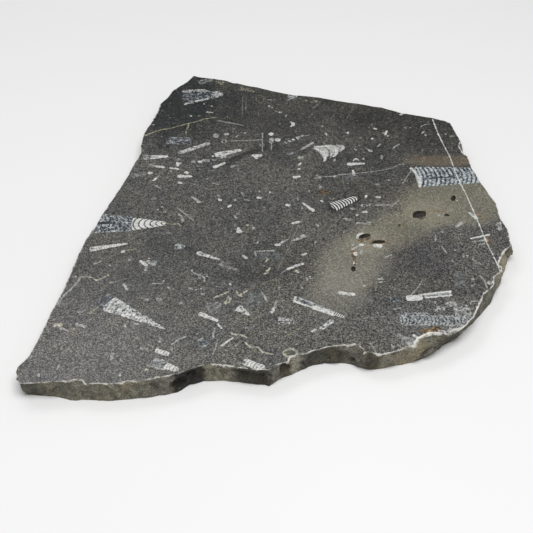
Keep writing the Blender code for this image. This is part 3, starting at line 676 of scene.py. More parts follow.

# Painted shade darkening the wall under its undercuts and in its clefts and pockets, and paler
# stretches along the wall
WALL_PAINTED_SHADE_AND_PALE_PATCHES = (
    ((-79, -234), (16, 18), 0, (0.10, 0.10, 0.10), 0.4),
    ((-52, -228), (14, 16), 0, (1.35, 1.32, 1.25), 0.5),
    ((-22, -230), (17, 16), 0, (0.25, 0.24, 0.20), 0.5),
    ((7, -222), (5, 12), 0, (0.55, 0.48, 0.38), 0.5),
    ((16, -216), (6, 12), 0, (1.6, 1.6, 1.6), 0.5),
    ((42, -206), (20, 14), 0, (0.42, 0.42, 0.40), 0.6),
    ((72, -208), (12, 12), 0, (0.8, 0.8, 0.8), 0.6),
    ((86, -214), (8, 10), 0, (0.45, 0.43, 0.38), 0.6),
    ((116, -208), (24, 16), 0, (1.35, 1.33, 1.28), 0.6),
    ((160, -188), (16, 16), 40, (0.50, 0.49, 0.44), 0.6),
    ((224, -88), (10, 26), -20, (1.9, 1.9, 1.85), 0.6),
    ((-150, -252), (60, 12), 0, (1.15, 1.12, 1.05), 0.6),
    ((-224, -244), (14, 10), 0, (0.6, 0.6, 0.55), 0.6),
)

# Open pits whose lining is painted nearly black as the shade inside them: middle and reach in mm.
# The lining lies above this depth
PIT_DEPTH = 9
PITS = (
    ((146, -11), 10),
    ((184, 15), 7),
    ((174, -12), 5),
    ((88, -45), 8.5),
    ((101, -54), 8.5),
    ((74, -94), 6),
)

# Stretches where the rim is crushed to white: middle, reach in mm and strength, which fades out
# at this many times the reach
FROST_SPREAD = 1.4
FROSTED = (
    ((-215, -244), 26, 0.5),
    ((-180, -241), 24, 0.7),
    ((-140, -244), 34, 0.75),
    ((-105, -237), 20, 0.7),
    ((-60, -222), 16, 0.5),
    ((-45, -222), 26, 0.8),
    ((-15, -228), 22, 0.3),
    ((10, -216), 16, 0.8),
    ((35, -202), 26, 0.7),
    ((70, -201), 20, 0.7),
    ((100, -206), 24, 0.8),
    ((135, -194), 30, 1.0),
    ((165, -178), 26, 1.0),
    ((190, -150), 30, 0.9),
    ((205, -118), 26, 0.9),
    ((221, -80), 30, 0.9),
    ((232, -45), 24, 0.7),
    ((226, 5), 34, 0.6),
    ((210, 60), 34, 0.4),
    ((205, 95), 26, 0.9),
    ((197, 145), 16, 0.5),
    ((141, 170), 12, 0.6),
    ((60, 200), 90, 0.15),
    ((-60, 237), 60, 0.2),
    ((-112, 222), 30, 0.35),
    ((-136, 165), 24, 0.9),
    ((-146, 120), 26, 0.4),
    ((-160, 50), 50, 0.4),
    ((-180, -30), 50, 0.5),
    ((-200, -110), 60, 0.6),
    ((-216, -185), 40, 0.5),
    ((-232, -230), 16, 0.5),
)

# Texture coordinates: the face, the wall in strips and the underside share one square
FACE_SCALE = 1.62
TEXTURE_GAP = 0.006
STRIPS = 4
STRIP_WIDTH = 0.95
STRIP_HEIGHT = 0.046
STRIP_FILL = 0.9
STRIPS_FROM = 0.815
UNDERSIDE_SCALE = 0.46
UNDERSIDE_CORNER = (0.776, 0.01)


def is_level(face, height):
    """Whether a face lies in the level plane at a height."""
    return all(abs(vert.co.z - height) < LEVEL_SLACK * MM for vert in face.verts)


def cut_face_into_grid(bm):
    """Cuts the polished face into small cells, so that each piece can mark the cells it covers."""
    top = {face for face in bm.faces if is_level(face, TOP)}
    inner = [edge for edge in bm.edges if all(face in top for face in edge.link_faces)]
    bmesh.ops.dissolve_limit(bm, angle_limit=math.radians(0.5), verts=[], edges=inner)
    for axis in (0, 1):
        ahead = [face for face in bm.faces if is_level(face, TOP)]
        position = SLAB_LOW[axis] + FACE_GRID * MM / 2
        while position < SLAB_HIGH[axis]:
            place = Vector((0, 0, 0))
            place[axis] = position
            normal = Vector((1 - axis, axis, 0))
            edges = {edge for face in ahead for edge in face.edges}
            verts = {vert for face in ahead for vert in face.verts}
            geometry = ahead + list(edges) + list(verts)
            cut = bmesh.ops.bisect_plane(bm, geom=geometry, plane_co=place, plane_no=normal)
            faces = [part for part in cut["geom"] if isinstance(part, bmesh.types.BMFace)]
            past = position + LEVEL_SLACK * MM
            ahead = [face for face in faces if max(vert.co[axis] for vert in face.verts) > past]
            position += FACE_GRID * MM


def drop_folded_pairs(bm):
    """Removes pairs of faces that share all their corners, which enclose nothing."""
    same_corners = {}
    for face in bm.faces:
        same_corners.setdefault(frozenset(face.verts), []).append(face)
    folded = [face for faces in same_corners.values() if len(faces) > 1 for face in faces]
    bmesh.ops.delete(bm, geom=folded, context="FACES")


def refine_wall(bm):
    """Divides the broken wall's facets and gives them the grain of the break."""
    for _ in range(2):
        long_edges = []
        for edge in bm.edges:
            level = all(is_level(face, TOP) or is_level(face, 0.0) for face in edge.link_faces)
            on_rim = any(is_level(face, TOP) for face in edge.link_faces)
            if not level and not on_rim and edge.calc_length() > WALL_FACET * MM:
                long_edges.append(edge)
        bmesh.ops.subdivide_edges(bm, edges=long_edges, cuts=1, use_grid_fill=True)
        many_sided = [face for face in bm.faces if len(face.verts) > 3 and not is_level(face, TOP)]
        bmesh.ops.triangulate(bm, faces=many_sided)
        drop_folded_pairs(bm)
    bm.normal_update()
    for vert in bm.verts:
        if STILL_BAND * MM < vert.co.z < TOP - STILL_BAND * MM:
            grain = noise.noise(vert.co / (WALL_GRAIN_SPACING * MM))
            grain += 0.5 * noise.noise(vert.co / (0.4 * WALL_GRAIN_SPACING * MM))
            vert.co += vert.normal * grain * WALL_GRAIN * MM
            vert.co.z = min(max(vert.co.z, SKIN * MM), TOP - SKIN * MM)


def stone_mesh():
    """The slab as one closed mesh: a finely cut face, a rough wall and a flat underside."""
    bm = bmesh.new()
    bm.from_mesh(SLAB.data)
    bmesh.ops.remove_doubles(bm, verts=bm.verts, dist=WELD * MM)
    cut_face_into_grid(bm)
    refine_wall(bm)
    bmesh.ops.triangulate(bm, faces=bm.faces)
    mesh = bpy.data.meshes.new("orthoceras_slab")
    bm.to_mesh(mesh)
    bm.free()
    return mesh


def on_plan(point):
    """A point of the plan, in millimetres in the slab's frame."""
    return np.array((point[0] + PLAN_ORIGIN[0], point[1] + PLAN_ORIGIN[1]), dtype=float)


def corner_layout(mesh):
    """Each triangle's corners: vertex numbers, places in mm, and whether it is on the face."""
    corners = np.empty(len(mesh.loops), dtype=np.int64)
    mesh.loops.foreach_get("vertex_index", corners)
    places = np.empty(len(mesh.vertices) * 3)
    mesh.vertices.foreach_get("co", places)
    places = places.reshape(-1, 3) / MM
    corners = corners.reshape(-1, 3)
    top = np.all(places[corners][:, :, 2] > TOP / MM - LEVEL_SLACK, axis=1)
    return corners, places, top


class MarkLayers:
    """The pieces of calcite on the face, kept in layers in which no two pieces share a cell."""

    def __init__(self, mesh):
        corners, places, self.top = corner_layout(mesh)
        self.plan = places[corners][:, :, :2]
        self.middles = self.plan.mean(axis=1)
        self.values = np.zeros((LAYERS, len(LAYER_PARTS), len(corners), 3, 3))
        self.values[:, LAYER_PARTS.index("size"), :, :, 0] = -1.0
        self.used = np.zeros((LAYERS, len(corners)), dtype=bool)
        self.highest = np.full(len(corners), -1)

    def add(self, look, start, end, half_widths, bend=0.0, keeps_order=True):
        """Writes one piece on the cells it covers, in the lowest layer above what it lies over."""
        brightness, tint, mottle, cover, ragged, *chambers, edge = LOOKS[look]
        spacing, bow, strength, share, waviness = chambers or NO_CHAMBERS
        begin = on_plan(start)
        along = on_plan(end) - begin
        length = np.hypot(*along)
        along = along / length
        across = np.array((-along[1], along[0]))
        u = (self.middles - begin) @ along
        v = (self.middles - begin) @ across
        share_along = np.clip(u / length, 0, 1)
        half = half_widths[0] + (half_widths[1] - half_widths[0]) * share_along
        v = v - bend * 4 * share_along * (1 - share_along)
        margin = CELL_REACH + ragged
        gap = np.maximum(np.maximum(-u, u - length), np.abs(v) - half)
        covered = self.top & (gap < margin)
        overlapped = covered & (gap < OVERLAP)
        if not covered.any():
            return
        lowest = self.highest[overlapped].max() + 1 if overlapped.any() else 0
        free = [layer for layer in range(LAYERS) if not self.used[layer][covered].any()]
        if not free:
            return
        above = [layer for layer in free if layer >= lowest]
        layer = above[0] if above else free[-1]
        self.used[layer][covered] = True
        if keeps_order:
            self.highest[covered] = np.maximum(self.highest[covered], layer)
        offset = self.plan[covered] - begin
        lengthwise = offset @ along
        crosswise = offset @ across
        values = self.values[layer][:, covered]
        values[0] = np.stack((lengthwise, crosswise, np.zeros_like(lengthwise)), axis=-1)
        values[1] = (length, half_widths[0], half_widths[1])
        values[2] = (brightness, tint, mottle)
        values[3] = (cover, ragged, edge)
        values[4] = (spacing, bow, strength)
        values[5] = (bend, share, waviness)
        self.values[layer][:, covered] = values

    def write(self, mesh):
        """Stores every layer on the mesh, one vector attribute for each of its parts."""
        for layer in range(LAYERS):
            for part, name in enumerate(LAYER_PARTS):
                attribute = mesh.attributes.new(f"{name}_{layer + 1}", "FLOAT_VECTOR", "CORNER")
                attribute.data.foreach_set("vector", self.values[layer, part].ravel())


def lay_out_calcite(mesh):
    """Writes every shell, shell fragment and vein on the polished face."""
    layers = MarkLayers(mesh)
    regions = (BACK_LEFT_PIECES, BACK_PIECES, LEFT_PIECES, MIDDLE_PIECES, LOWER_LEFT_PIECES,
               FRONT_PIECES, RIGHT_PIECES)
    for region in regions:
        for piece in region:
            layers.add(*piece)
    for look, half_width, points in VEINS:
        for start, end in zip(points, points[1:]):
            layers.add(look, start, end, (half_width, half_width), keeps_order=False)
    layers.write(mesh)


def measure_rim(mesh):
    """Writes each vertex's distance from the rim in mm, and how far the rim there is crushed."""
    corners, places, top = corner_layout(mesh)
    on_top = np.zeros(len(places), dtype=bool)
    on_top[corners[top].ravel()] = True
    on_wall = np.zeros(len(places), dtype=bool)
    on_wall[corners[~top].ravel()] = True
    rim = places[on_top & on_wall]
    tree = KDTree(len(rim))
    for index, place in enumerate(rim):
        tree.insert(place, index)
    tree.balance()
    distances = np.array([tree.find(place)[2] for place in places], dtype=np.float32)
    mesh.attributes.new("rim_distance", "FLOAT", "POINT").data.foreach_set("value", distances)
    crushed = np.zeros(len(places), dtype=np.float32)
    for (x, y), reach, strength in FROSTED:
        gap = np.hypot(places[:, 0] - x, places[:, 1] - y) / reach
        crushed = np.maximum(crushed, strength * np.clip(FROST_SPREAD - gap, 0, 1))
    mesh.attributes.new("crushed", "FLOAT", "POINT").data.foreach_set("value", crushed)


def share_out_surfaces(mesh):
    """Gives each triangle its kind of surface: polished, broken, sawn or pit lining."""
    corners, places, top = corner_layout(mesh)
    middles = places[corners].mean(axis=1)
    bottom = np.all(places[corners][:, :, 2] < LEVEL_SLACK, axis=1)
    surfaces = np.full(len(corners), SURFACES.index("broken"))
    surfaces[top] = SURFACES.index("polished")
    surfaces[bottom] = SURFACES.index("sawn")
    for (x, y), reach in PITS:
        inside = ~top & (np.hypot(middles[:, 0] - x, middles[:, 1] - y) < reach)
        surfaces[inside & (middles[:, 2] > TOP / MM - PIT_DEPTH)] = SURFACES.index("pit")
    mesh.polygons.foreach_set("material_index", surfaces.astype(np.int32))


def lay_out_texture_square(mesh):
    """Unwraps the slab: the face from above, the wall in strips and the underside made small."""
    corners, places, top = corner_layout(mesh)
    points = places[corners] * MM
    low = np.array((SLAB_LOW[0], SLAB_LOW[1]))
    uv = (points[:, :, :2] - low) * FACE_SCALE + TEXTURE_GAP
    bottom = np.all(places[corners][:, :, 2] < LEVEL_SLACK, axis=1)
    uv[bottom] = (points[bottom, :, :2] - low) * UNDERSIDE_SCALE + UNDERSIDE_CORNER
    wall = ~top & ~bottom
    angle = np.arctan2(points[:, :, 1], points[:, :, 0]) / (2 * math.pi) + 0.5
    turn = angle[wall]
    first = turn[:, :1]
    turn = turn - np.round(turn - first)
    strip = np.clip(np.floor(first * STRIPS), 0, STRIPS - 1)
    height = points[wall][:, :, 2] / TOP
    uv[wall, :, 0] = TEXTURE_GAP + (turn * STRIPS - strip) * STRIP_WIDTH
    uv[wall, :, 1] = STRIPS_FROM + (strip + height * STRIP_FILL) * STRIP_HEIGHT
    layer = mesh.uv_layers.new(name="OFBake")
    layer.uv.foreach_set("vector", uv.reshape(-1))


def value_or_link(tree, socket, value):
    """Joins a socket to another node's output, or sets it to a plain number."""
    if isinstance(value, bpy.types.NodeSocket):
        tree.links.new(value, socket)
    elif value is not None:
        socket.default_value = value


def calculate(tree, operation, first, second=None, third=None):
    """A sum, product or other operation on one to three values."""
    node = tree.nodes.new("ShaderNodeMath")
    node.operation = operation
    for socket, value in zip(node.inputs, (first, second, third)):
        value_or_link(tree, socket, value)
    return node.outputs[0]


def ramp(tree, value, low, high, low_out=0.0, high_out=1.0):
    """A soft step from one value to another."""
    node = tree.nodes.new("ShaderNodeMapRange")
    node.interpolation_type = "SMOOTHSTEP"
    numbers = (value, low, high, low_out, high_out)
    for name, number in zip(("Value", "From Min", "From Max", "To Min", "To Max"), numbers):
        value_or_link(tree, node.inputs[name], number)
    return node.outputs["Result"]


def mix_colours(tree, share, first, second, blend="MIX"):
    """The first colour, replaced or multiplied by the second as far as the share says."""
    node = tree.nodes.new("ShaderNodeMix")
    node.data_type = "RGBA"
    node.blend_type = blend
    value_or_link(tree, node.inputs["Factor"], share)
    for socket, value in ((node.inputs[6], first), (node.inputs[7], second)):
        value_or_link(tree, socket, value if isinstance(value, bpy.types.NodeSocket) else (*value, 1))
    return node.outputs[2]


def times(tree, colour, factor):
    """A colour multiplied by another."""
    return mix_colours(tree, 1.0, colour, factor, "MULTIPLY")


def vary(tree, colour, value, low, high, dark, light):
    """A colour multiplied by the dark factor where the value is low and by the light one above."""
    paler = times(tree, colour, light)
    darker = times(tree, colour, dark)
    return mix_colours(tree, ramp(tree, value, low, high), darker, paler)


def noise_at(tree, place, size, detail=2.0, roughness=0.5, distortion=0.0):
    """Smooth noise whose lumps are about a size in mm across, from 0 to 1."""
    node = tree.nodes.new("ShaderNodeTexNoise")
    value_or_link(tree, node.inputs["Vector"], place)
    node.inputs["Scale"].default_value = 1 / (size * MM)
    node.inputs["Detail"].default_value = detail
    node.inputs["Roughness"].default_value = roughness
    node.inputs["Distortion"].default_value = distortion
    return node.outputs["Fac"]


def attribute(tree, name):
    """A node that reads one of the mesh's own attributes."""
    node = tree.nodes.new("ShaderNodeAttribute")
    node.attribute_name = name
    return node


def split(tree, vector):
    """The three numbers of a vector."""
    node = tree.nodes.new("ShaderNodeSeparateXYZ")
    value_or_link(tree, node.inputs[0], vector)
    return node.outputs


def calcite_piece_group():
    """Nodes that paint one layer of calcite pieces over the colour beneath."""
    tree = bpy.data.node_groups.new("calcite_pieces", "ShaderNodeTree")
    for name in LAYER_PARTS:
        tree.interface.new_socket(name=name, in_out="INPUT", socket_type="NodeSocketVector")
    for name in ("wobble", "speckle", "blotch"):
        tree.interface.new_socket(name=name, in_out="INPUT", socket_type="NodeSocketFloat")
    tree.interface.new_socket(name="beneath", in_out="INPUT", socket_type="NodeSocketColor")
    tree.interface.new_socket(name="colour", in_out="OUTPUT", socket_type="NodeSocketColor")
    inputs = tree.nodes.new("NodeGroupInput").outputs
    u, v = split(tree, inputs["place"])[:2]
    length, half_start, half_end = split(tree, inputs["size"])
    brightness, tint, mottle = split(tree, inputs["tone"])
    cover, ragged, edge = split(tree, inputs["outline"])
    spacing, bow, strength = split(tree, inputs["chambers"])
    bend, share, waviness = split(tree, inputs["form"])

    along = calculate(tree, "DIVIDE", u, length)
    along.node.use_clamp = True
    widening = calculate(tree, "SUBTRACT", half_end, half_start)
    half = calculate(tree, "MULTIPLY_ADD", widening, along, half_start)
    rest = calculate(tree, "SUBTRACT", 1.0, along)
    bow_shape = calculate(tree, "MULTIPLY", calculate(tree, "MULTIPLY", along, rest), 4.0)
    offset = calculate(tree, "SUBTRACT", v, calculate(tree, "MULTIPLY", bend, bow_shape))
    sideways = calculate(tree, "ABSOLUTE", offset)
    cap = calculate(tree, "MINIMUM", half, CAP_DEPTH)
    cap = calculate(tree, "MINIMUM", cap, calculate(tree, "MULTIPLY", length, 0.5))
    cap = calculate(tree, "MAXIMUM", cap, 0.1)
    end_gap = calculate(tree, "MINIMUM", u, calculate(tree, "SUBTRACT", length, u))
    past_cap = calculate(tree, "MAXIMUM", calculate(tree, "SUBTRACT", cap, end_gap), 0.0)
    past_cap = calculate(tree, "MULTIPLY", past_cap, calculate(tree, "DIVIDE", half, cap))
    from_middle = calculate(tree, "MULTIPLY", past_cap, past_cap)
    from_middle = calculate(tree, "MULTIPLY_ADD", sideways, sideways, from_middle)
    inside = calculate(tree, "SUBTRACT", half, calculate(tree, "SQRT", from_middle))
    inside = calculate(tree, "MULTIPLY_ADD", ragged, inputs["wobble"], inside)
    mask = calculate(tree, "MULTIPLY", ramp(tree, inside, -0.25, 0.3), cover)

    ratio = calculate(tree, "DIVIDE", offset, half)
    curve = calculate(tree, "SUBTRACT", 1.0, calculate(tree, "MULTIPLY", ratio, ratio))
    chamber_place = calculate(tree, "SUBTRACT", u, calculate(tree, "MULTIPLY", bow, curve))
    chamber_place = calculate(tree, "MULTIPLY_ADD", inputs["wobble"], waviness, chamber_place)
    step = calculate(tree, "FRACT", calculate(tree, "DIVIDE", chamber_place, spacing))
    off_centre = calculate(tree, "ABSOLUTE", calculate(tree, "SUBTRACT", step, 0.5))
    to_wall = calculate(tree, "MULTIPLY", off_centre, 2.0)
    wall_start = calculate(tree, "SUBTRACT", 1.0, share)
    wall_end = calculate(tree, "ADD", wall_start, 0.22)
    wall = calculate(tree, "MULTIPLY", ramp(tree, to_wall, wall_start, wall_end), strength)

    rim = calculate(tree, "MULTIPLY", ramp(tree, inside, 1.3, 0.2), edge)
    grains = calculate(tree, "ADD", inputs["speckle"], inputs["blotch"])
    light = calculate(tree, "MULTIPLY_ADD", grains, mottle, brightness)
    light = calculate(tree, "ADD", light, rim)
    light = calculate(tree, "SUBTRACT", light, wall)
    light.node.use_clamp = True
    cool = ramp(tree, tint, 0.0, -1.0)
    shade = mix_colours(tree, cool, (0.012, 0.0125, 0.0125), (0.017, 0.023, 0.034))
    bright = mix_colours(tree, cool, (0.72, 0.72, 0.69), (0.60, 0.66, 0.68))
    colour = mix_colours(tree, light, shade, bright)
    creamy = times(tree, colour, (1.08, 1.0, 0.66))
    colour = mix_colours(tree, ramp(tree, tint, 0.0, 1.0), colour, creamy)
    rusty = times(tree, colour, (1.25, 0.82, 0.55))
    colour = mix_colours(tree, ramp(tree, tint, 1.2, 2.2), colour, rusty)
    painted = mix_colours(tree, mask, inputs["beneath"], colour)
    tree.links.new(painted, tree.nodes.new("NodeGroupOutput").inputs["colour"])
    return tree


def new_finish(name):
    """A new material with its shader and the Object coordinates that its pattern reads."""
    material = bpy.data.materials.new(name)
    material.use_nodes = True
    tree = material.node_tree
    shader = tree.nodes["Principled BSDF"]
    place = tree.nodes.new("ShaderNodeTexCoord").outputs["Object"]
    return material, tree, shader, place


def bump(tree, shader, height, depth, strength=1.0):
    """Raises the surface by a height from 0 to 1 times a depth in mm."""
    node = tree.nodes.new("ShaderNodeBump")
    node.inputs["Distance"].default_value = depth * MM
    node.inputs["Strength"].default_value = strength
    value_or_link(tree, node.inputs["Height"], height)
    tree.links.new(node.outputs["Normal"], shader.inputs["Normal"])


def add_clouds(tree, place, colour, drift, clouds):
    """Tints the rock in soft ellipses; one with a cover of its own is laid over the rock."""
    for middle, half_sizes, turn, tint, softness, *cover in clouds:
        mapping = tree.nodes.new("ShaderNodeMapping")
        mapping.vector_type = "TEXTURE"
        x, y = on_plan(middle) * MM
        mapping.inputs["Location"].default_value = (x, y, TOP)
        mapping.inputs["Rotation"].default_value = (0, 0, math.radians(turn))
        mapping.inputs["Scale"].default_value = (half_sizes[0] * MM, half_sizes[1] * MM, 1)
        tree.links.new(place, mapping.inputs["Vector"])
        length = tree.nodes.new("ShaderNodeVectorMath")
        length.operation = "LENGTH"
        tree.links.new(mapping.outputs[0], length.inputs[0])
        reach = calculate(tree, "ADD", length.outputs["Value"], drift)
        share = ramp(tree, reach, 1.0 + 0.5 * softness, 1.0 - 0.6 * softness)
        if cover:
            share = calculate(tree, "MULTIPLY", share, cover[0])
        else:
            tint = times(tree, colour, tint)
        colour = mix_colours(tree, share, colour, tint)
    return colour


def rock_colour(tree, place):
    """The dark grey-brown rock with its grain, fine shell hash and clouds of colour, some of them
    partly painted sheen.
    """
    fine = noise_at(tree, place, 1.1, 2.0, 0.7)
    medium = noise_at(tree, place, 5.0, 3.0, 0.6)
    broad = noise_at(tree, place, 38.0, 2.0, 0.5)
    colour = mix_colours(tree, ramp(tree, fine, 0.40, 0.70), ROCK_DARK, ROCK_LIGHT)
    colour = vary(tree, colour, medium, 0.36, 0.66, (0.88, 0.88, 0.89), (1.12, 1.11, 1.08))
    colour = vary(tree, colour, broad, 0.35, 0.65, (0.88, 0.89, 0.93), (1.12, 1.1, 1.05))
    drift = calculate(tree, "MULTIPLY_ADD", broad, 0.8, -0.4)
    drift = calculate(tree, "MULTIPLY_ADD", calculate(tree, "SUBTRACT", medium, 0.5), 0.7, drift)
    # The clouds also paint sheen: the face is darkened at the back and paled at the front as a painted
    # reflection
    colour = add_clouds(tree, place, colour, drift, TONE_AND_SHEEN_CLOUDS + STAINS)
    return colour, fine, medium


def shell_hash(tree, place, colour, cell, radius, share, tone, turn=0.0, stretch=1.0):
    """Scatters crumbs of shell in the rock, one in some cells of a net, round or as short dashes."""
    mapping = tree.nodes.new("ShaderNodeMapping")
    mapping.vector_type = "TEXTURE"
    mapping.inputs["Rotation"].default_value = (0, 0, math.radians(turn))
    mapping.inputs["Scale"].default_value = (stretch, 1, 1)
    tree.links.new(place, mapping.inputs["Vector"])
    cells = tree.nodes.new("ShaderNodeTexVoronoi")
    cells.inputs["Scale"].default_value = 1 / (cell * MM)
    cells.inputs["Randomness"].default_value = 1.0
    tree.links.new(mapping.outputs[0], cells.inputs["Vector"])
    chance = split(tree, cells.outputs["Color"])
    near = ramp(tree, cells.outputs["Distance"], radius / cell, 0.5 * radius / cell)
    chosen = calculate(tree, "LESS_THAN", chance[0], share)
    faded = calculate(tree, "MULTIPLY_ADD", chance[1], 0.7, 0.2)
    mask = calculate(tree, "MULTIPLY", calculate(tree, "MULTIPLY", near, chosen), faded)
    return mix_colours(tree, mask, colour, tone)


def crushed_rim(tree, place, colour, reach):
    """Whitens the rock beside the rim where the break has crushed it."""
    distance = attribute(tree, "rim_distance").outputs["Fac"]
    crushed = attribute(tree, "crushed").outputs["Fac"]
    patches = noise_at(tree, place, 4.5, 3.0, 0.65)
    widening = calculate(tree, "MULTIPLY_ADD", calculate(tree, "POWER", crushed, 3.0), 2.4, 0.4)
    edge = calculate(tree, "MULTIPLY_ADD", calculate(tree, "SUBTRACT", patches, 0.5), 6.0, distance)
    edge = calculate(tree, "DIVIDE", edge, widening)
    near = ramp(tree, edge, reach, 0.1 * reach)
    mask = calculate(tree, "MULTIPLY", near, crushed)
    return mix_colours(tree, mask, colour, CRUSHED_WHITE), mask


def polished_finish():
    """The polished face: rock, shells, veins and the gloss of the polish."""
    material, tree, shader, place = new_finish("polished_limestone")
    colour, fine, medium = rock_colour(tree, place)
    for crumbs in SHELL_CRUMBS:
        colour = shell_hash(tree, place, colour, *crumbs)
    wobble = calculate(tree, "MULTIPLY_ADD", noise_at(tree, place, 2.6, 2.0, 0.6), 5.0, -2.5)
    speckle = calculate(tree, "MULTIPLY_ADD", noise_at(tree, place, 1.3, 2.0, 0.6), 2.4, -1.2)
    blotch = calculate(tree, "MULTIPLY_ADD", noise_at(tree, place, 3.4, 2.0, 0.6), 2.2, -1.1)
    group = calcite_piece_group()
    for layer in range(LAYERS):
        node = tree.nodes.new("ShaderNodeGroup")
        node.node_tree = group
        for name in LAYER_PARTS:
            tree.links.new(attribute(tree, f"{name}_{layer + 1}").outputs["Vector"], node.inputs[name])
        shared = (("wobble", wobble), ("speckle", speckle), ("blotch", blotch), ("beneath", colour))
        for name, value in shared:
            tree.links.new(value, node.inputs[name])
        colour = node.outputs["colour"]
    colour, crushed = crushed_rim(tree, place, colour, 0.8)
    tree.links.new(colour, shader.inputs["Base Color"])
    roughness = ramp(tree, medium, 0.3, 0.7, 0.24, 0.34)
    roughness = calculate(tree, "MULTIPLY_ADD", crushed, 0.4, roughness)
    tree.links.new(roughness, shader.inputs["Roughness"])
    shader.inputs["IOR"].default_value = 1.48
    bump(tree, shader, fine, 0.02, 0.3)
    return material


def broken_finish():
    """The broken edge: dull brown-grey rock with crushed white stretches under the rim, and painted
    shade in its undercuts.
    """
    material, tree, shader, place = new_finish("broken_limestone")
    fine = noise_at(tree, place, 1.1, 4.0, 0.65)
    medium = noise_at(tree, place, 6.0, 3.0, 0.6)
    broad = noise_at(tree, place, 24.0, 2.0, 0.5)
    lumps = ramp(tree, medium, 0.34, 0.66)
    colour = mix_colours(tree, lumps, (0.066, 0.061, 0.048), (0.142, 0.136, 0.112))
    drift = calculate(tree, "MULTIPLY_ADD", medium, 0.9, -0.45)
    brown = ramp(tree, broad, 0.5, 0.68)
    colour = mix_colours(tree, brown, colour, (0.13, 0.112, 0.078))
    colour = vary(tree, colour, fine, 0.3, 0.7, (0.38, 0.38, 0.38), (2.1, 2.1, 2.05))
    # Painted shade: the wall is darkened under its undercuts and in its clefts and pockets
    colour = add_clouds(tree, place, colour, drift, WALL_PAINTED_SHADE_AND_PALE_PATCHES)
    colour = shell_hash(tree, place, colour, 9.0, 1.6, 0.3, (0.3, 0.28, 0.22))
    colour = crushed_rim(tree, place, colour, 1.3)[0]
    tree.links.new(colour, shader.inputs["Base Color"])
    tree.links.new(ramp(tree, medium, 0.3, 0.7, 0.7, 0.9), shader.inputs["Roughness"])
    shader.inputs["IOR"].default_value = 1.5
    bump(tree, shader, fine, 0.7, 0.8)
    return material


def sawn_finish():
    """The flat underside: rock left from the saw, with its faint curved strokes."""
    material, tree, shader, place = new_finish("sawn_limestone")
    fine = noise_at(tree, place, 1.6, 3.0, 0.6)
    medium = noise_at(tree, place, 12.0, 3.0, 0.6)
    strokes = tree.nodes.new("ShaderNodeTexWave")
    strokes.wave_type = "RINGS"
    strokes.rings_direction = "Z"
    strokes.inputs["Scale"].default_value = 60.0
    strokes.inputs["Distortion"].default_value = 1.5
    mapping = tree.nodes.new("ShaderNodeMapping")
    mapping.inputs["Location"].default_value = (1.1, 0.6, 0)
    tree.links.new(place, mapping.inputs["Vector"])
    tree.links.new(mapping.outputs[0], strokes.inputs["Vector"])
    lumps = ramp(tree, medium, 0.35, 0.65)
    colour = mix_colours(tree, lumps, (0.10, 0.096, 0.083), (0.16, 0.153, 0.135))
    light = times(tree, colour, (1.25, 1.25, 1.22))
    dark = times(tree, colour, (0.75, 0.75, 0.76))
    colour = mix_colours(tree, ramp(tree, fine, 0.35, 0.65), dark, light)
    colour = mix_colours(tree, calculate(tree, "MULTIPLY", strokes.outputs["Fac"], 0.25), colour, light)
    tree.links.new(colour, shader.inputs["Base Color"])
    tree.links.new(ramp(tree, fine, 0.3, 0.7, 0.55, 0.75), shader.inputs["Roughness"])
    bump(tree, shader, strokes.outputs["Fac"], 0.05, 0.4)
    return material


def pit_painted_shade_finish():
    """The lining of the open pits: painted shade, nearly black, with rust and a few pale crystals."""
    material, tree, shader, place = new_finish("pit_lining_painted_shade")
    fine = noise_at(tree, place, 1.0, 3.0, 0.65)
    medium = noise_at(tree, place, 4.0, 2.0, 0.5)
    rust = ramp(tree, medium, 0.4, 0.7)
    # Painted shade: the lining is nearly black for the shade inside the pit, with a rusty tone in
    # patches
    colour = mix_colours(tree, rust, (0.010, 0.009, 0.008), (0.045, 0.03, 0.018))
    colour = mix_colours(tree, ramp(tree, fine, 0.62, 0.75), colour, (0.22, 0.2, 0.17))
    tree.links.new(colour, shader.inputs["Base Color"])
    tree.links.new(ramp(tree, fine, 0.3, 0.7, 0.5, 0.85), shader.inputs["Roughness"])
    bump(tree, shader, fine, 0.6, 0.8)
    return material


def make_stone():
    """The slab with its marks and finishes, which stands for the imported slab."""
    mesh = stone_mesh()
    lay_out_calcite(mesh)
    measure_rim(mesh)
    for finish in (polished_finish(), broken_finish(), sawn_finish(), pit_painted_shade_finish()):
        mesh.materials.append(finish)
    share_out_surfaces(mesh)
    lay_out_texture_square(mesh)
    stone = bpy.data.objects.new("orthoceras_slab", mesh)
    bpy.context.scene.collection.objects.link(stone)
    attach(stone, "root")
    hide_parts("slab")


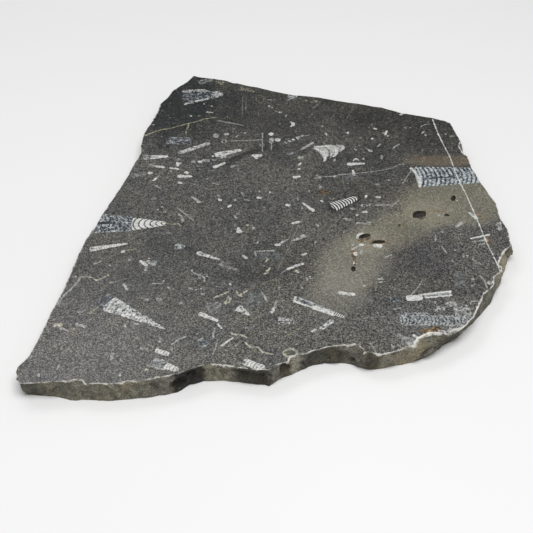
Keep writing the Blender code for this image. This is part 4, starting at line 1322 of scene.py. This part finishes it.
def make_floor():
    """A plain pale studio floor."""
    bm = bmesh.new()
    bmesh.ops.create_grid(bm, x_segments=1, y_segments=1, size=FLOOR_REACH)
    mesh = bpy.data.meshes.new("studio_floor")
    bm.to_mesh(mesh)
    bm.free()
    material, tree, shader, place = new_finish("studio_paper")
    shade = noise_at(tree, place, 400.0, 1.0)
    colour = mix_colours(tree, shade, (0.86, 0.86, 0.86), (0.88, 0.88, 0.88))
    tree.links.new(colour, shader.inputs["Base Color"])
    shader.inputs["Roughness"].default_value = 0.95
    shader.inputs["Specular IOR Level"].default_value = 0.0
    mesh.materials.append(material)
    floor = bpy.data.objects.new("studio_floor", mesh)
    bpy.context.scene.collection.objects.link(floor)


def add_softbox(name, size, radiance, place, aim):
    """A rectangular studio light of a given brightness, aimed at a point."""
    light = bpy.data.lights.new(name, "AREA")
    light.shape = "RECTANGLE"
    light.size, light.size_y = size
    light.energy = radiance * math.pi * size[0] * size[1]
    lamp = bpy.data.objects.new(name, light)
    bpy.context.scene.collection.objects.link(lamp)
    lamp.location = place
    lamp.rotation_euler = (Vector(aim) - Vector(place)).to_track_quat("-Z", "Y").to_euler()


def add_lights():
    """Even pale air and two softboxes."""
    world = bpy.data.worlds.new("studio_air")
    world.use_nodes = True
    background = world.node_tree.nodes["Background"]
    background.inputs["Color"].default_value = (1, 1, 1, 1)
    background.inputs["Strength"].default_value = AIR_BRIGHTNESS
    bpy.context.scene.world = world
    for softbox in SOFTBOXES:
        add_softbox(*softbox)


def add_camera():
    """A camera at the photograph's angle: level with the slab's middle, looking down at it."""
    angle = math.radians(CAMERA_ELEVATION)
    forward = Vector((0, math.cos(angle), -math.sin(angle)))
    data = bpy.data.cameras.new("photo_camera")
    data.sensor_width = 36.0
    data.lens = CAMERA_LENS
    camera = bpy.data.objects.new("photo_camera", data)
    bpy.context.scene.collection.objects.link(camera)
    camera.location = Vector(CAMERA_AIM) - forward * CAMERA_DISTANCE
    camera.rotation_euler = (math.radians(90 - CAMERA_ELEVATION), 0, 0)
    bpy.context.scene.camera = camera


bpy.context.scene.view_settings.view_transform = "Standard"
add_camera()
make_floor()
add_lights()
make_stone()

bpy.context.view_layer.update()
